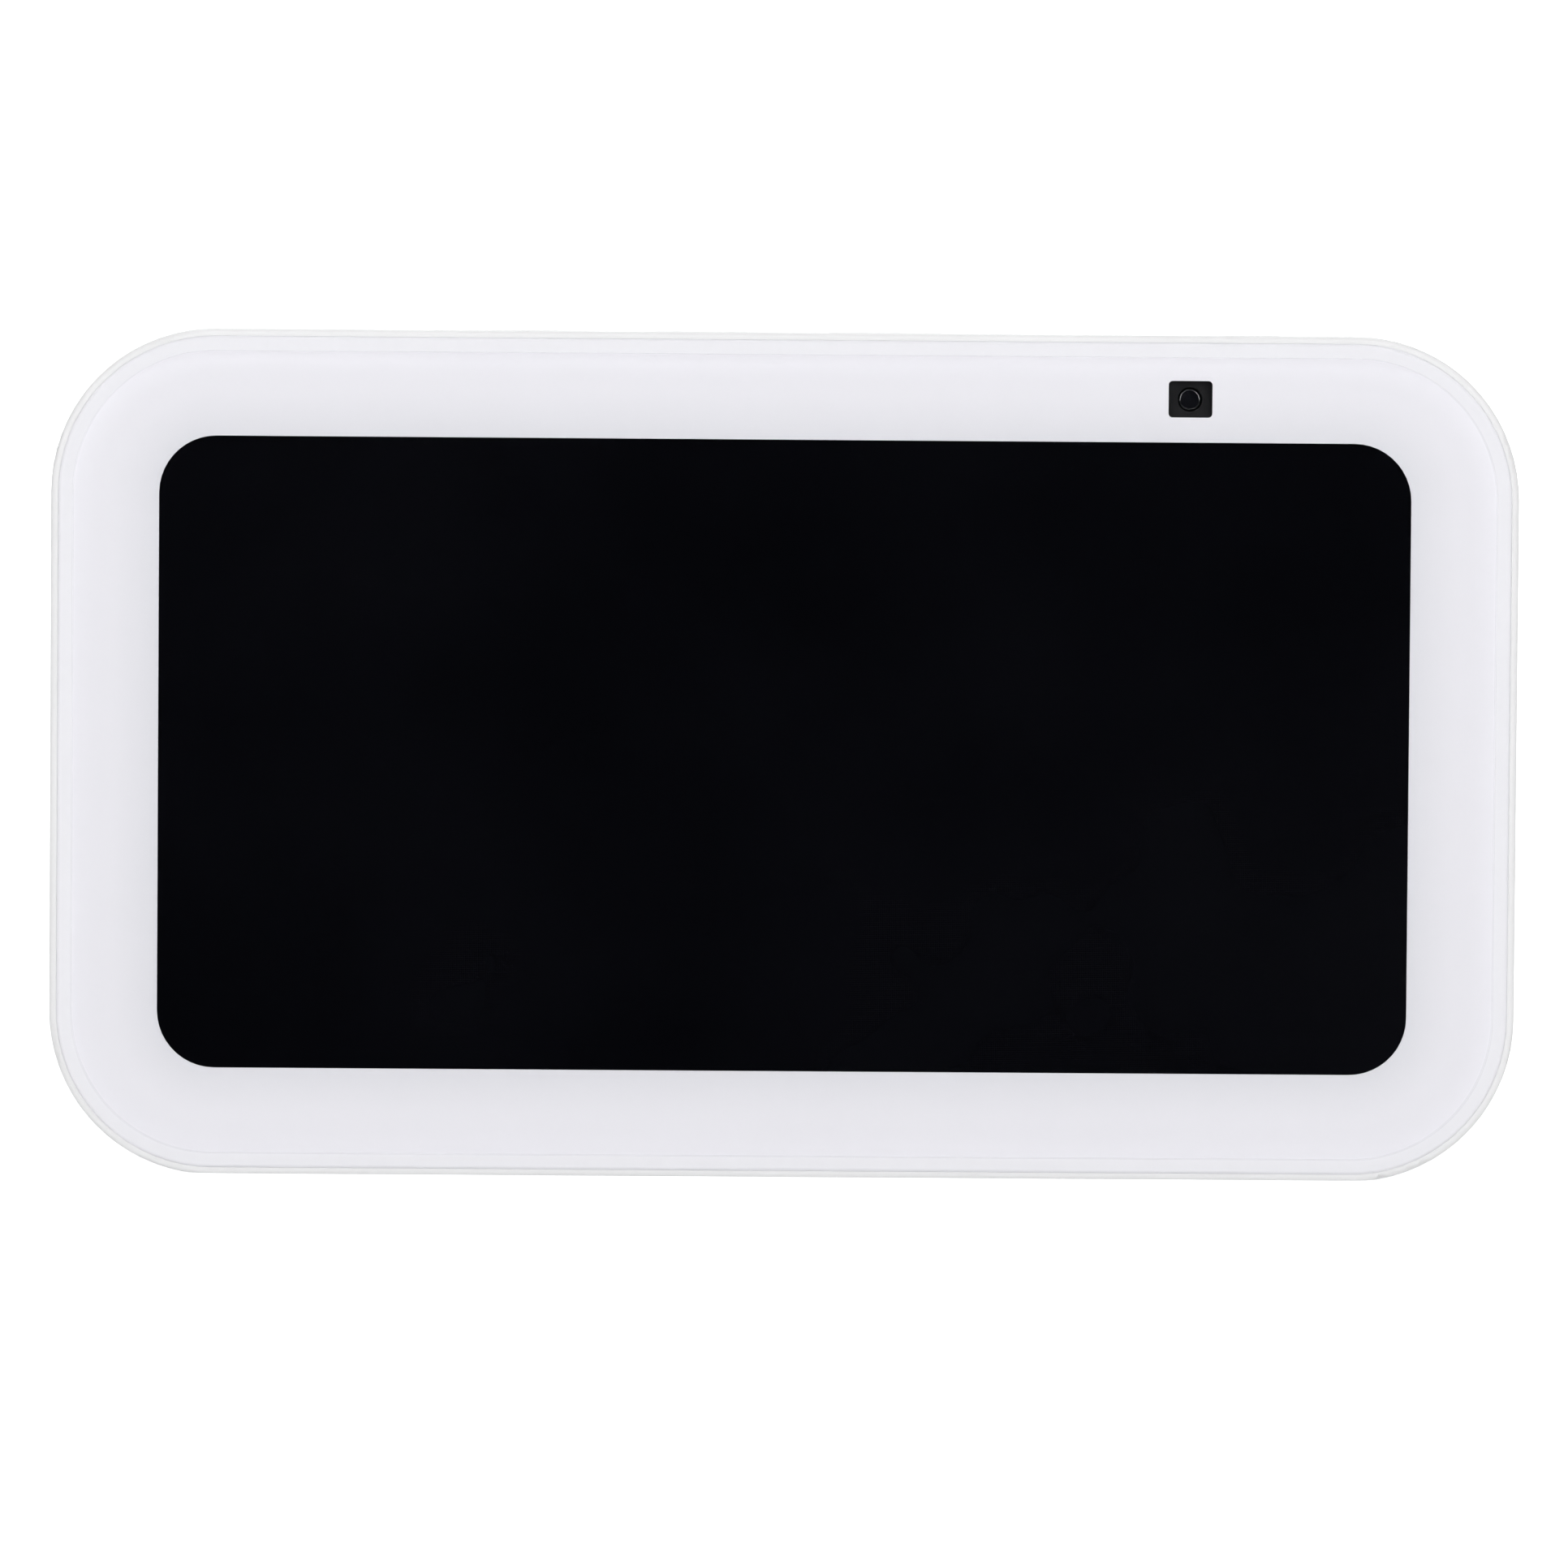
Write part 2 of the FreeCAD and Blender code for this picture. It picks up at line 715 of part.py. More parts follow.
b = body("camera_bracket", FACE)
sk = sketch(b, off=10.3)
rrect(sk, 40.5, 78.4, 14.0, 4.6, 0.6)
pad(b, sk, 0.8)
sk = sketch(b, off=10.2)
for x in (35.2, 45.8):
    circle(sk, x, 78.4, 0.85)
pocket(b, sk, 2)
small_screws = screw_solids(
    "camera_screw", [[x, 11.1, 78.4] for x in (35.2, 45.8)], 1.4, 0.9, 0.7, 3.4, (0, -1, 0)
)

b = body("shutter_slider", FACE)
sk = sketch(b, off=2.2)
rrect(sk, 46.9, 78.95, 6.6, 6.5, 0)
pad(b, sk, 0.3)
sk = sketch(b, off=2.2)
rrect(sk, 47.0, 81.65, 4.0, 1.1, 0)
pad(b, sk, 6.2)
sk = sketch(b, "XY_Plane", off=82.0)
rrect(sk, 47.0, 7.6, 3.0, 1.4, 0.3)
pad(b, sk, fh - 0.75 - 82.0 + 0.2)
sk = sketch(b, "XY_Plane", off=fh - 0.75)
rrect(sk, 47.0, 7.6, 7.0, 2.8, 1.3)
pad(b, sk, 1.0)
fillet(b, edges(b.Tip.Shape, lambda p: abs(p.z - V["face_hgt"] - 0.25) < 1e-6), 0.25)
sk = sketch(b, "XY_Plane", off=fh + 0.1)
for x in (46.2, 47.0, 47.8):
    rrect(sk, x, 7.6, 0.3, 1.6, 0)
pocket(b, sk, 1)

# ================================================================ buttons
for label, a in (
    ("button_mute", "mute_x"),
    ("button_volume_down", "down_x"),
    ("button_volume_up", "up_x"),
):
    b = body(label, FACE)
    bx = d(a)
    sk = sketch(b, "XY_Plane", off=wall_low - 0.9)
    rrect(sk, bx, deep, d("btn_len") + 1.6, d("btn_w") + 1.6, 2.0)
    pad(b, sk, 0.8)
    sk = sketch(b, "XY_Plane", off=wall_low - 0.2)
    rrect(sk, bx, deep, d("btn_len"), d("btn_w"), d("btn_w") / 2 - 0.01)
    pad(b, sk, d("frame_wall") + d("btn_proud") + 0.2)
    top = V["face_hgt"] + V["btn_proud"]
    fillet(b, edges(b.Tip.Shape, lambda p: abs(p.z - top) < 1e-6), 0.3)
    sk = sketch(b, "XY_Plane", off=wall_low - 1.9)
    circle(sk, bx, deep, 1.0)
    pad(b, sk, 1.2)
    sk = sketch(b, "XY_Plane", off=fh + d("btn_proud") - 0.15)
    if label == "button_volume_down":
        rrect(sk, bx, deep, 2.6, 0.45, 0)
    elif label == "button_volume_up":
        u = 0.225
        polygon(
            sk,
            [
                (bx + px, deep + py)
                for px, py in (
                    (-1.3, -u), (-u, -u), (-u, -1.3), (u, -1.3), (u, -u), (1.3, -u),
                    (1.3, u), (u, u), (u, 1.3), (-u, 1.3), (-u, u), (-1.3, u),
                )
            ],
        )
    else:
        circle(sk, bx, deep, 1.25)
        circle(sk, bx, deep, 0.9)
    pocket(b, sk, 1)

for label, a in (
    ("plunger_mute", "mute_x"),
    ("plunger_volume_down", "down_x"),
    ("plunger_volume_up", "up_x"),
):
    group(label, [cyl(label + "_pin", 1.2, 2.3, [d(a), deep, wall_low - 4.2])], FACE)

tacts = []
for k, a in enumerate(("mute_x", "down_x", "up_x")):
    case = box("tact_case_%d" % k, [d(a) - 2.25, deep - 2.25, d("board_top")], [4.5, 4.5, 2.2])
    bore = cyl("tact_bore_%d" % k, 1.3, 3, [d(a), deep, d("board_top") + 0.8])
    tacts.append(cut("tact_%d" % k, case, bore))
group("tact_switches", tacts, FACE)

b = body("control_board", FACE)
sk = sketch(b, "XY_Plane", off=d("board_top") - d("board_thk"))
rrect(sk, -13.5, 10.0, 93.0, 6.8, 0.8)
pad(b, sk, d("board_thk"))
sk = sketch(b, "XY_Plane", off=d("board_top") - d("board_thk") - 0.5)
for x in (-56.0, 20.2):
    circle(sk, x, deep, 0.85)
for x in (-42.0, 27.5):
    circle(sk, x, deep, 0.4)
pocket(b, sk, 2)
small_screws += screw_solids(
    "control_screw",
    [[x, deep, d("board_top") - d("board_thk")] for x in (-56.0, 20.2)],
    1.4,
    0.9,
    0.7,
    3.4,
    (0, 0, 1),
)
group("small_screws", small_screws, FACE)
mics, seals = [], []
for k, x in enumerate((-42.0, 27.5)):
    can = box("mic_can_%d" % k, [x - 1.75, deep - 1.32, d("board_top")], [3.5, 2.64, 1.0])
    port = cyl("mic_port_%d" % k, 0.3, 2, [x, deep, d("board_top") + 0.5])
    mics.append(cut("mic_%d" % k, can, port))
    tube = cyl("seal_tube_%d" % k, 1.9, wall_low - d("board_top") - 1.0, [x, deep, d("board_top") + 1.0])
    way = cyl("seal_way_%d" % k, 0.5, 8, [x, deep, d("board_top")])
    seals.append(cut("seal_%d" % k, tube, way))
group("microphones", mics, FACE)
group("microphone_seals", seals, FACE)

# ================================================================ main board
mb = d("main_front")
mb_back = mb + d("main_thk")
mc = d("main_low") + d("main_hgt") / 2
POSTS = [(x, z) for x in (-44.0, 44.0) for z in (20.0, 60.0)]
b = body("main_board", FACE)
sk = sketch(b, off=mb)
rrect(sk, 0, mc, d("main_w"), d("main_hgt"), 2.0)
pad(b, sk, d("main_thk"))
sk = sketch(b, off=mb - 0.5)
for x, z in POSTS:
    circle(sk, x, z, 1.15)
pocket(b, sk, 3)

stands = []
for k, (x, z) in enumerate(POSTS):
    o = cyl("stand_%d" % k, 2.6, mb - bracket_back, [x, bracket_back, z], (0, 1, 0))
    i = cyl("stand_bore_%d" % k, 1.05, 6, [x, bracket_back + 0.3, z], (0, 1, 0))
    stands.append(cut("standoff_%d" % k, o, i))
group("board_standoffs", stands, FACE)

b = body("heat_spreader", FACE)
sk = sketch(b, off=13.6)
rrect(sk, 0, 40.0, 96.0, 46.0, 3.0)
pad(b, sk, 1.5)
sk = sketch(b, off=mb_back)
for x, z in POSTS:
    circle(sk, x, z, 2.6)
pad(b, sk, 14.0 - mb_back)
sk = sketch(b, off=mb_back - 0.5)
for x, z in POSTS:
    circle(sk, x, z, 1.1)
pocket(b, sk, 6)
screws(
    "board_screws",
    [[x, 15.1, z] for x, z in POSTS],
    2.0,
    1.2,
    1.0,
    8.0,
    (0, -1, 0),
    FACE,
)

cans = []
for k, (x, z, w, hh) in enumerate(((-4.0, 40.0, 36.0, 28.0), (28.0, 40.0, 16.0, 22.0))):
    o = box("can_outer_%d" % k, [x - w / 2, mb_back, z - hh / 2], [w, 2.0, hh])
    i = box(
        "can_inner_%d" % k,
        [x - w / 2 + 0.3, mb_back - 1, z - hh / 2 + 0.3],
        [w - 0.6, 2.7, hh - 0.6],
    )
    cans.append(cut("can_%d" % k, o, i))
group("shield_cans", cans, FACE)
group(
    "processor_chips",
    [
        box("chip_0", [-13.0, mb_back, 33.0], [14.0, 1.4, 14.0]),
        box("chip_1", [3.0, mb_back, 35.0], [8.0, 1.0, 10.0]),
        box("chip_2", [24.0, mb_back, 36.0], [8.0, 1.2, 8.0]),
    ],
    FACE,
)
pad_thk = 13.6 - mb_back - 2.0
group(
    "thermal_pad",
    [box("thermal_pad_sheet", [-16.0, mb_back + 2.0, 30.0], [24.0, pad_thk, 20.0])],
    FACE,
)
group(
    "board_connectors",
    [
        box("conn_speaker", [-43.0, mb_back, 47.0], [6.0, 2.4, 5.0]),
        box("conn_power", [-43.0, mb_back, 28.0], [6.0, 2.4, 7.0]),
        box("conn_controls", [-34.0, mb_back, 60.5], [12.0, 1.6, 3.5]),
        box("conn_camera", [30.0, mb_back, 60.5], [9.0, 1.6, 3.5]),
        box("conn_display", [-10.0, mb - 1.6, 15.0], [20.0, 1.6, 4.0]),
    ],
    FACE,
)
ants = []
for k, x in enumerate((-71.4, 70.7)):
    ants.append(box("antenna_plate_%d" % k, [x, 6.8, 32.0], [0.7, 5.6, 26.0]))
group("wifi_antennas", ants, FACE)


def ribbon(label, path, x0, w):
    """A flat flexible cable: a path of (depth, height) points given thickness and width."""
    t = 0.1
    left, right = [], []
    n = len(path)
    for i in range(n):
        a = path[max(i - 1, 0)]
        c = path[min(i + 1, n - 1)]
        e1 = (path[i][0] - a[0], path[i][1] - a[1])
        e2 = (c[0] - path[i][0], c[1] - path[i][1])
        if i == 0:
            e1 = e2
        if i == n - 1:
            e2 = e1
        l1, l2 = math.hypot(*e1), math.hypot(*e2)
        n1, n2 = (-e1[1] / l1, e1[0] / l1), (-e2[1] / l2, e2[0] / l2)
        mx, my = n1[0] + n2[0], n1[1] + n2[1]
        k = 2.0 / (mx * mx + my * my)
        left.append((path[i][0] + mx * k * t, path[i][1] + my * k * t))
        right.append((path[i][0] - mx * k * t, path[i][1] - my * k * t))
    bb = body(label, FACE)
    s2 = sketch(bb, "YZ_Plane", off=x0 + w / 2)
    polygon(s2, left + right[::-1])
    pad(bb, s2, w, mid=True)
    return bb


ribbon(
    "display_cable",
    [(4.6, 12.5), (4.6, 8.6), (5.2, 7.9), (7.0, 8.6), (7.55, 10.0), (7.55, 14.8)],
    -9.0,
    18.0,
)
ribbon(
    "controls_cable",
    [(11.6, 64.2), (11.6, 73.6), (11.6, 75.4), (11.6, 76.05)],
    -33.0,
    10.0,
)
ribbon(
    "camera_cable",
    [(11.6, 64.2), (11.6, 72.5), (10.9, 74.3), (9.0, 75.2), (8.0, 75.75)],
    38.4,
    3.8,
)

# ================================================================ rear body surfaces
QUARTER = 14
SPANS = [0, 0.05, 0.12, 0.2, 0.3, 0.4, 0.5, 0.6, 0.7, 0.78, 0.85, 0.9, 0.94, 0.97, 0.987, 0.996]


def rear_section(p, inset):
    """Half width, top and bottom of the rear body's section at fraction p of its depth."""
    run = V["rear_deep"] - V["frame_back"]
    dd = V["frame_back"] + run * p
    pole = V["rear_mid"]
    a = V["face_w"] / 2 - V["fabric_inset"] - inset
    a *= (1 - p ** 2.2) ** (1 / 2.2)
    top = pole + (V["face_hgt"] - V["fabric_inset"] - pole - inset) * (1 - p ** 1.4) ** (1 / 1.8)
    qq = min(max((dd - 66.0) / 17.6, 0.0), 1.0)
    t = math.tan(TILT)
    base = dd * t - (15 * t - 0.4) * (1 - p * p) + 6.83 * (1 - math.sqrt(max(0.0, 1 - qq ** 2.5)))
    g = (pole - base) / (pole - 0.4)
    low = pole - (pole - 0.4 - inset) * g
    return dd - inset * p, a, top, low


def rear_loop(p, inset):
    dd, a, top, low = rear_section(p, inset)
    b2 = (top - low) / 2
    mid = (top + low) / 2
    a0 = V["face_w"] / 2 - V["fabric_inset"]
    b0 = (V["face_hgt"] - 2 * V["fabric_inset"]) / 2
    r0 = V["rear_corner"]
    k = p ** 1.3
    rx = a * ((r0 / a0) * (1 - k) + 0.86 * k)
    ry = b2 * ((r0 / b0) * (1 - k) + 0.93 * k)
    n = 2.25
    fine = [(a, 0.0), (a, b2 - ry)]
    for j in range(1, 60):
        f = math.pi / 2 * j / 60.0
        fine.append(
            (a - rx + rx * math.cos(f) ** (2 / n), b2 - ry + ry * math.sin(f) ** (2 / n))
        )
    fine += [(a - rx, b2), (0.0, b2)]
    run = [0.0]
    for i in range(1, len(fine)):
        run.append(
            run[-1] + math.hypot(fine[i][0] - fine[i - 1][0], fine[i][1] - fine[i - 1][1])
        )
    quarter = []
    for j in range(QUARTER + 1):
        want = run[-1] * j / QUARTER
        i = 1
        while i < len(run) - 1 and run[i] < want:
            i += 1
        f = min(1.0, max(0.0, (want - run[i - 1]) / (run[i] - run[i - 1])))
        quarter.append(
            tuple(fine[i - 1][m] + f * (fine[i][m] - fine[i - 1][m]) for m in (0, 1))
        )
    pts = [(x, mid + z) for x, z in quarter]
    pts += [(-x, mid + z) for x, z in quarter[::-1][1:]]
    pts += [(-x, mid - z) for x, z in quarter[1:]]
    pts += [(x, mid - z) for x, z in quarter[::-1][1:-1]]
    return [Vector(x, dd, z) for x, z in pts]


def rear_solid(inset):
    """The rear body's outside, set in by an amount, as one lofted solid."""
    wires = []
    for p in SPANS:
        pts = rear_loop(p, inset)
        par = [i / float(len(pts)) for i in range(len(pts) + 1)]
        c = Part.BSplineCurve()
        c.interpolate(Points=pts, Parameters=par, PeriodicFlag=True)
        wires.append(Part.Wire([c.toShape()]))
    s3 = Part.makeLoft(wires, True, False)
    if s3.Volume < 0:
        s3.reverse()
    s3.Placement = FACE
    return s3


def above(z):
    """Everything above a level, as a cutting block."""
    return Part.makeBox(240, 200, 160, Vector(-120, -60, z))


in_fab = V["fabric_thk"]
in_shell = in_fab + V["glue_gap"]
in_wall = in_shell + V["shell_wall"]
z_fab = V["ground_gap"]
z_fab_in = z_fab + in_fab
z_shell = z_fab_in + V["glue_gap"]
z_floor = z_shell + V["shell_wall"]


outer = rear_solid(0.0).common(above(z_fab))
inner = rear_solid(in_fab).common(above(z_fab_in))
shell_out = rear_solid(in_shell).common(above(z_shell))
shell_in = rear_solid(in_wall).common(above(z_floor))


def base_outline(grow, z0, z1):
    """The base plate's rounded trapezoid as a prism."""
    y0, y1 = V["base_y0"] - grow, V["base_y1"] + grow
    w0, w1 = V["base_half_front"] + grow, V["base_half_rear"] + grow
    pts = [Vector(x, y, z0) for x, y in ((-w0, y0), (w0, y0), (w1, y1), (-w1, y1))]
    s3 = Part.Face(Part.makePolygon(pts + pts[:1])).extrude(Vector(0, 0, z1 - z0))
    up = [e for e in s3.Edges if abs(e.tangentAt(e.FirstParameter).z) > 0.99]
    return s3.makeFillet(V["base_rad"] + grow, up)


port_z = V["jack_z"]


def along_y(r, y0, y1, z=None, x=0.0):
    return Part.makeCylinder(r, y1 - y0, Vector(x, y0, port_z if z is None else z), Vector(0, 1, 0))


fabric = outer.cut(inner)
fabric = fabric.cut(base_outline(0.3, z_fab - 2, z_shell - 0.1))
fabric = fabric.cut(along_y(V["port_out"] + 0.2, 80, 95))
shape_node("fabric_cover", fabric)

# shell: slots over the driver, tongue into the front frame, posts, screw holes
DRV = Placement(
    Vector(0, V["drv_y"], V["drv_z"]), Rotation(Vector(1, 0, 0), V["drv_tilt"] - 90)
)
shell = shell_out.cut(shell_in)
w = V["face_w"] - 2 * V["frame_wall"] - 0.2
top_in = V["face_hgt"] - V["frame_wall"] - 0.1
ring_o = Part.makeBox(w, V["tongue_len"] + 0.6, top_in - 7.5, Vector(-w / 2, V["frame_back"] - V["tongue_len"], 7.5))
ring_o = ring_o.makeFillet(
    V["face_rad"] - V["frame_wall"] - 0.1,
    [e for e in ring_o.Edges if abs(e.tangentAt(e.FirstParameter).y) > 0.99],
)
ins = V["fabric_inset"] + in_wall
wi = V["face_w"] - 2 * ins
ring_i = Part.makeBox(wi, 20, V["face_hgt"] - 2 * ins, Vector(-wi / 2, 8, ins))
ring_i = ring_i.makeFillet(
    V["rear_corner"] - in_wall - 0.6,
    [e for e in ring_i.Edges if abs(e.tangentAt(e.FirstParameter).y) > 0.99],
)
tongue = ring_o.cut(ring_i).cut(Part.makeBox(200, 30, 40, Vector(-100, 0, -22)))
tongue.Placement = FACE
shell_limit = rear_solid(in_shell + 0.05)
front_half = Part.makeBox(240, V["frame_back"], 140, Vector(-120, 0, -20))
front_half.Placement = FACE
tongue = tongue.common(front_half.fuse(shell_limit))
shell = shell.fuse(tongue)
for sx in (-1, 1):
    shell = shell.fuse(
        Part.makeCylinder(3.0, 4.2, Vector(sx * V["screw_x_rear"], V["screw_y_rear"], z_floor - 0.5))
    )
    shell = shell.fuse(Part.makeCylinder(2.8, 4.5, Vector(sx * 42.0, 46.0, z_floor - 0.5)))
    for yy in (75.6, 82.6):
        post = Part.makeCylinder(2.0, 9.1 - 3.2, Vector(sx * 6.6, yy, 3.2))
        shell = shell.fuse(post.common(shell_out))
for sx in (-1, 1):
    shell = shell.cut(
        Part.makeCylinder(1.25, 8, Vector(sx * V["screw_x_rear"], V["screw_y_rear"], z_shell - 1))
    )
    shell = shell.cut(
        Part.makeCylinder(1.4, 8, Vector(sx * V["screw_x_front"], V["screw_y_front"], z_shell - 1))
    )
    shell = shell.cut(Part.makeCylinder(1.05, 5, Vector(sx * 42.0, 46.0, z_floor + 0.6)))
    shell = shell.cut(Part.makeCylinder(0.85, 5, Vector(sx * 6.6, 75.6, 5.6)))
for k in range(9):
    y = (k - 4) * 4.6
    half = math.sqrt(max(0.0, 21.0 ** 2 - y * y))
    slot = Part.makeBox(2 * half, 2.4, 30, Vector(-half, y - 1.2, 7.5))
    slot.Placement = DRV
    shell = shell.cut(slot)
shell = shell.cut(along_y(V["port_out"] + 0.04, 80, 95))
if len(shell.Solids) > 1:
    shell = sorted(shell.Solids, key=lambda v: -v.Volume)[0]
shape_node("rear_shell", shell)

# ================================================================ base
b = body("base_plate")
sk = sketch(b, "XY_Plane", off=d("foot_thk"))
y0, y1 = d("base_y0"), d("base_y1")
polygon(
    sk,
    [
        (-d("base_half_front"), y0),
        (d("base_half_front"), y0),
        (d("base_half_rear"), y1),
        (-d("base_half_rear"), y1),
    ],
)
pad(b, sk, d("base_top") - d("foot_thk"))
up = edges(b.Tip.Shape, lambda p: True)
up = [
    "Edge%d" % i
    for i, e in enumerate(b.Tip.Shape.Edges, start=1)
    if abs(e.tangentAt(e.FirstParameter).z) > 0.99
]
fillet(b, up, d("base_rad"))
SCREW_SPOTS = [
    (d("screw_x_front") * sg, d("screw_y_front")) for sg in (-1, 1)
] + [(d("screw_x_rear") * sg, d("screw_y_rear")) for sg in (-1, 1)]
sk = sketch(b, "XY_Plane", off=d("foot_thk") - 0.5)
for x, y in SCREW_SPOTS:
    circle(sk, x, y, 1.4)
pocket(b, sk, 4)
sk = sketch(b, "XY_Plane", off=d("foot_thk") - 0.5)
for x, y in SCREW_SPOTS:
    circle(sk, x, y, 2.7)
pocket(b, sk, 1.55)

screws(
    "base_screws",
    [[x, y, d("foot_thk") + 1.05] for x, y in SCREW_SPOTS],
    2.45,
    0.95,
    1.2,
    6.2,
    (0, 0, 1),
)

b = body("rubber_foot")
sk = sketch(b, "XY_Plane")
g = 1.2
polygon(
    sk,
    [
        (-(d("base_half_front") - g), y0 + g),
        (d("base_half_front") - g, y0 + g),
        (d("base_half_rear") - g, y1 - g),
        (-(d("base_half_rear") - g), y1 - g),
    ],
)
pad(b, sk, d("foot_thk"))
up = [
    "Edge%d" % i
    for i, e in enumerate(b.Tip.Shape.Edges, start=1)
    if abs(e.tangentAt(e.FirstParameter).z) > 0.99
]
fillet(b, up, d("base_rad") - g)
fillet(b, edges(b.Tip.Shape, lambda p: abs(p.z) < 1e-6), 0.3)

b = body("ballast_plate")
sk = sketch(b, "XY_Plane", off=z_floor + 0.05)
rrect(sk, 0, 43.0, 72.0, 26.0, 2.0)
pad(b, sk, d("ballast_thk"))

# ================================================================ speaker box
OUT = [(20.2, 9.0), (39.4, 64.4), (43.9, 64.6), (78.1, 25.4), (72.0, 21.5), (70.0, 9.0)]


def inset_polygon(pts, offs):
    """Move each edge of a clockwise outline inward by its own amount."""
    n, out = len(pts), []
    lines = []
    for i in range(n):
        a, c = pts[i], pts[(i + 1) % n]
        dx, dy = c[0] - a[0], c[1] - a[1]
        l = math.hypot(dx, dy)
        nx, ny = dy / l, -dx / l
        lines.append((a[0] + nx * offs[i], a[1] + ny * offs[i], dx / l, dy / l))
    for i in range(n):
        x1, y1_, ux, uy = lines[i - 1]
        x2, y2_, vx, vy = lines[i]
        den = ux * vy - uy * vx
        t = ((x2 - x1) * vy - (y2_ - y1_) * vx) / den
        out.append((x1 + ux * t, y1_ + uy * t))
    return out


bw = V["box_wall"]
IN = inset_polygon(OUT, [bw, bw, -4.0, bw, bw, bw])
b = body("speaker_box_moulding", keep=False)
sk = sketch(b, "YZ_Plane")
polygon(sk, OUT)
pad(b, sk, d("box_w"), mid=True)
sk = sketch(b, "YZ_Plane")
polygon(sk, IN)
pocket(b, sk, d("box_w") - d("box_wall") * 2, mid=True)
ears = [
    box("box_ear_%d" % k, [x, 42.0, 9.05], [8.0, 8.0, 2.4]) for k, x in enumerate((-45.6, 37.6))
]
ear_bores = [cyl("box_ear_bore_%d" % k, 1.3, 6, [x, 46.0, 8.0]) for k, x in enumerate((-42.0, 42.0))]
lead_way = cyl("box_lead_way", 1.2, 6, [-40.0, 34.0, 30.0], (1, 0, 0))
box_whole = fuse("speaker_box_whole", b, *ears)
box_cuts = fuse("speaker_box_cuts", *(ear_bores + [lead_way]))
node(cut("speaker_box", box_whole, box_cuts), "speaker_box")
screws(
    "speaker_box_screws",
    [[x, 46.0, 11.45] for x in (-42.0, 42.0)],
    2.3,
    1.1,
    1.0,
    5.6,
    (0, 0, -1),
)

# the driver's frame: Z out along its axis, origin on the box's open face
b = body("speaker_baffle", DRV)
sk = sketch(b, "XY_Plane", off=0.06)
rrect(sk, 0, -2.0, d("box_w"), 50.0, 3.0)
pad(b, sk, d("baffle_thk") - 0.06)
sk = sketch(b, "XY_Plane", off=-1)
circle(sk, 0, 0, d("drv_hole"))
R_SC = 24.0
for x in (-1, 1):
    for y in (-1, 1):
        circle(sk, x * R_SC * 0.7071, y * R_SC * 0.7071, 0.8)
pocket(b, sk, 6)

zg = d("baffle_thk")
b = body("speaker_gasket", DRV)
sk = sketch(b, "XY_Plane", off=zg)
circle(sk, 0, 0, d("flange_rad"))
circle(sk, 0, 0, d("drv_hole"))
pad(b, sk, d("gasket_thk"))
sk = sketch(b, "XY_Plane", off=zg - 1)
for x in (-1, 1):
    for y in (-1, 1):
        circle(sk, x * R_SC * 0.7071, y * R_SC * 0.7071, 1.0)
pocket(b, sk, 6)

zf = 3.3
b = body("speaker_basket", DRV)
revolve(
    b,
    [
        (19.6, zf), (25.5, zf), (25.5, zf + 1.2), (20.6, zf + 1.2), (20.6, zf + 0.6),
        (19.2, zf + 0.6), (19.2, 1.2), (15.4, -9.4), (11.6, -9.4), (11.6, -10.4), (16.2, -10.4), (20.2, 0.8), (20.2, zf - 0.01),
        (19.6, zf - 0.01),
    ],
)
sk = sketch(b, "XY_Plane", off=zf - 1)
for x in (-1, 1):
    for y in (-1, 1):
        circle(sk, x * R_SC * 0.7071, y * R_SC * 0.7071, 1.0)
pocket(b, sk, 6)
sk = sketch(b, "YZ_Plane")
rrect(sk, 0, -4.0, 11.0, 5.6, 1.0)
pocket(b, sk, 60, mid=True)
sk = sketch(b)
rrect(sk, 0, -4.0, 11.0, 5.6, 1.0)
pocket(b, sk, 60, mid=True)

screws(
    "speaker_screws",
    [[x * R_SC * 0.7071, y * R_SC * 0.7071, zf + 1.2] for x in (-1, 1) for y in (-1, 1)],
    1.4,
    0.9,
    0.75,
    4.4,
    (0, 0, -1),
    DRV,
)
b = body("speaker_surround", DRV)
roll_o, roll_i = [], []
for j in range(9):
    f = math.pi * j / 8
    roll_o.append((18.35 + 1.55 * math.cos(f), 4.05 + 1.75 * math.sin(f)))
    roll_i.append((18.35 + 1.2 * math.cos(f), 4.05 + 1.4 * math.sin(f)))
revolve(
    b,
    [(20.5, 3.98), (20.5, 4.35), (19.95, 4.35)]
    + roll_o[1:-1]
    + [(16.7, 4.35), (15.9, 4.35), (15.9, 4.05), (17.15, 4.05)]
    + roll_i[::-1][1:-1]
    + [(19.55, 3.98)],
)
b = body("speaker_cone", DRV)
revolve(
    b,
    [(16.9, 4.0), (15.8, 4.0), (14.9, 3.6), (7.0, -2.2), (7.0, -2.8), (7.6, -2.8), (15.4, 3.0), (16.9, 3.6)],
)
b = body("dust_cap", DRV)
capo = [(8.2 * math.cos(math.radians(f)), -1.22 + 3.4 * math.sin(math.radians(f))) for f in (0, 15, 30, 45, 60, 75)]
capi = [(7.8 * math.cos(math.radians(f)), -1.22 + 3.05 * math.sin(math.radians(f))) for f in (75, 60, 45, 30, 15, 0)]
revolve(b, capo + [(0, 2.18), (0, 1.83)] + capi)
b = body("voice_coil", DRV)
revolve(b, [(6.5, -13.4), (6.9, -13.4), (6.9, -2.4), (6.5, -2.4)])
b = body("speaker_spider", DRV)
wave = [6.95 + 1.0 * j for j in range(9)]
up_pts = [(r, -7.2 + (0.35 if j % 2 else 0.0)) for j, r in enumerate(wave)]
revolve(
    b,
    up_pts + [(15.3, -7.0), (15.3, -7.4)] + [(r, z - 0.3) for r, z in up_pts[::-1]],
)
b = body("speaker_top_plate", DRV)
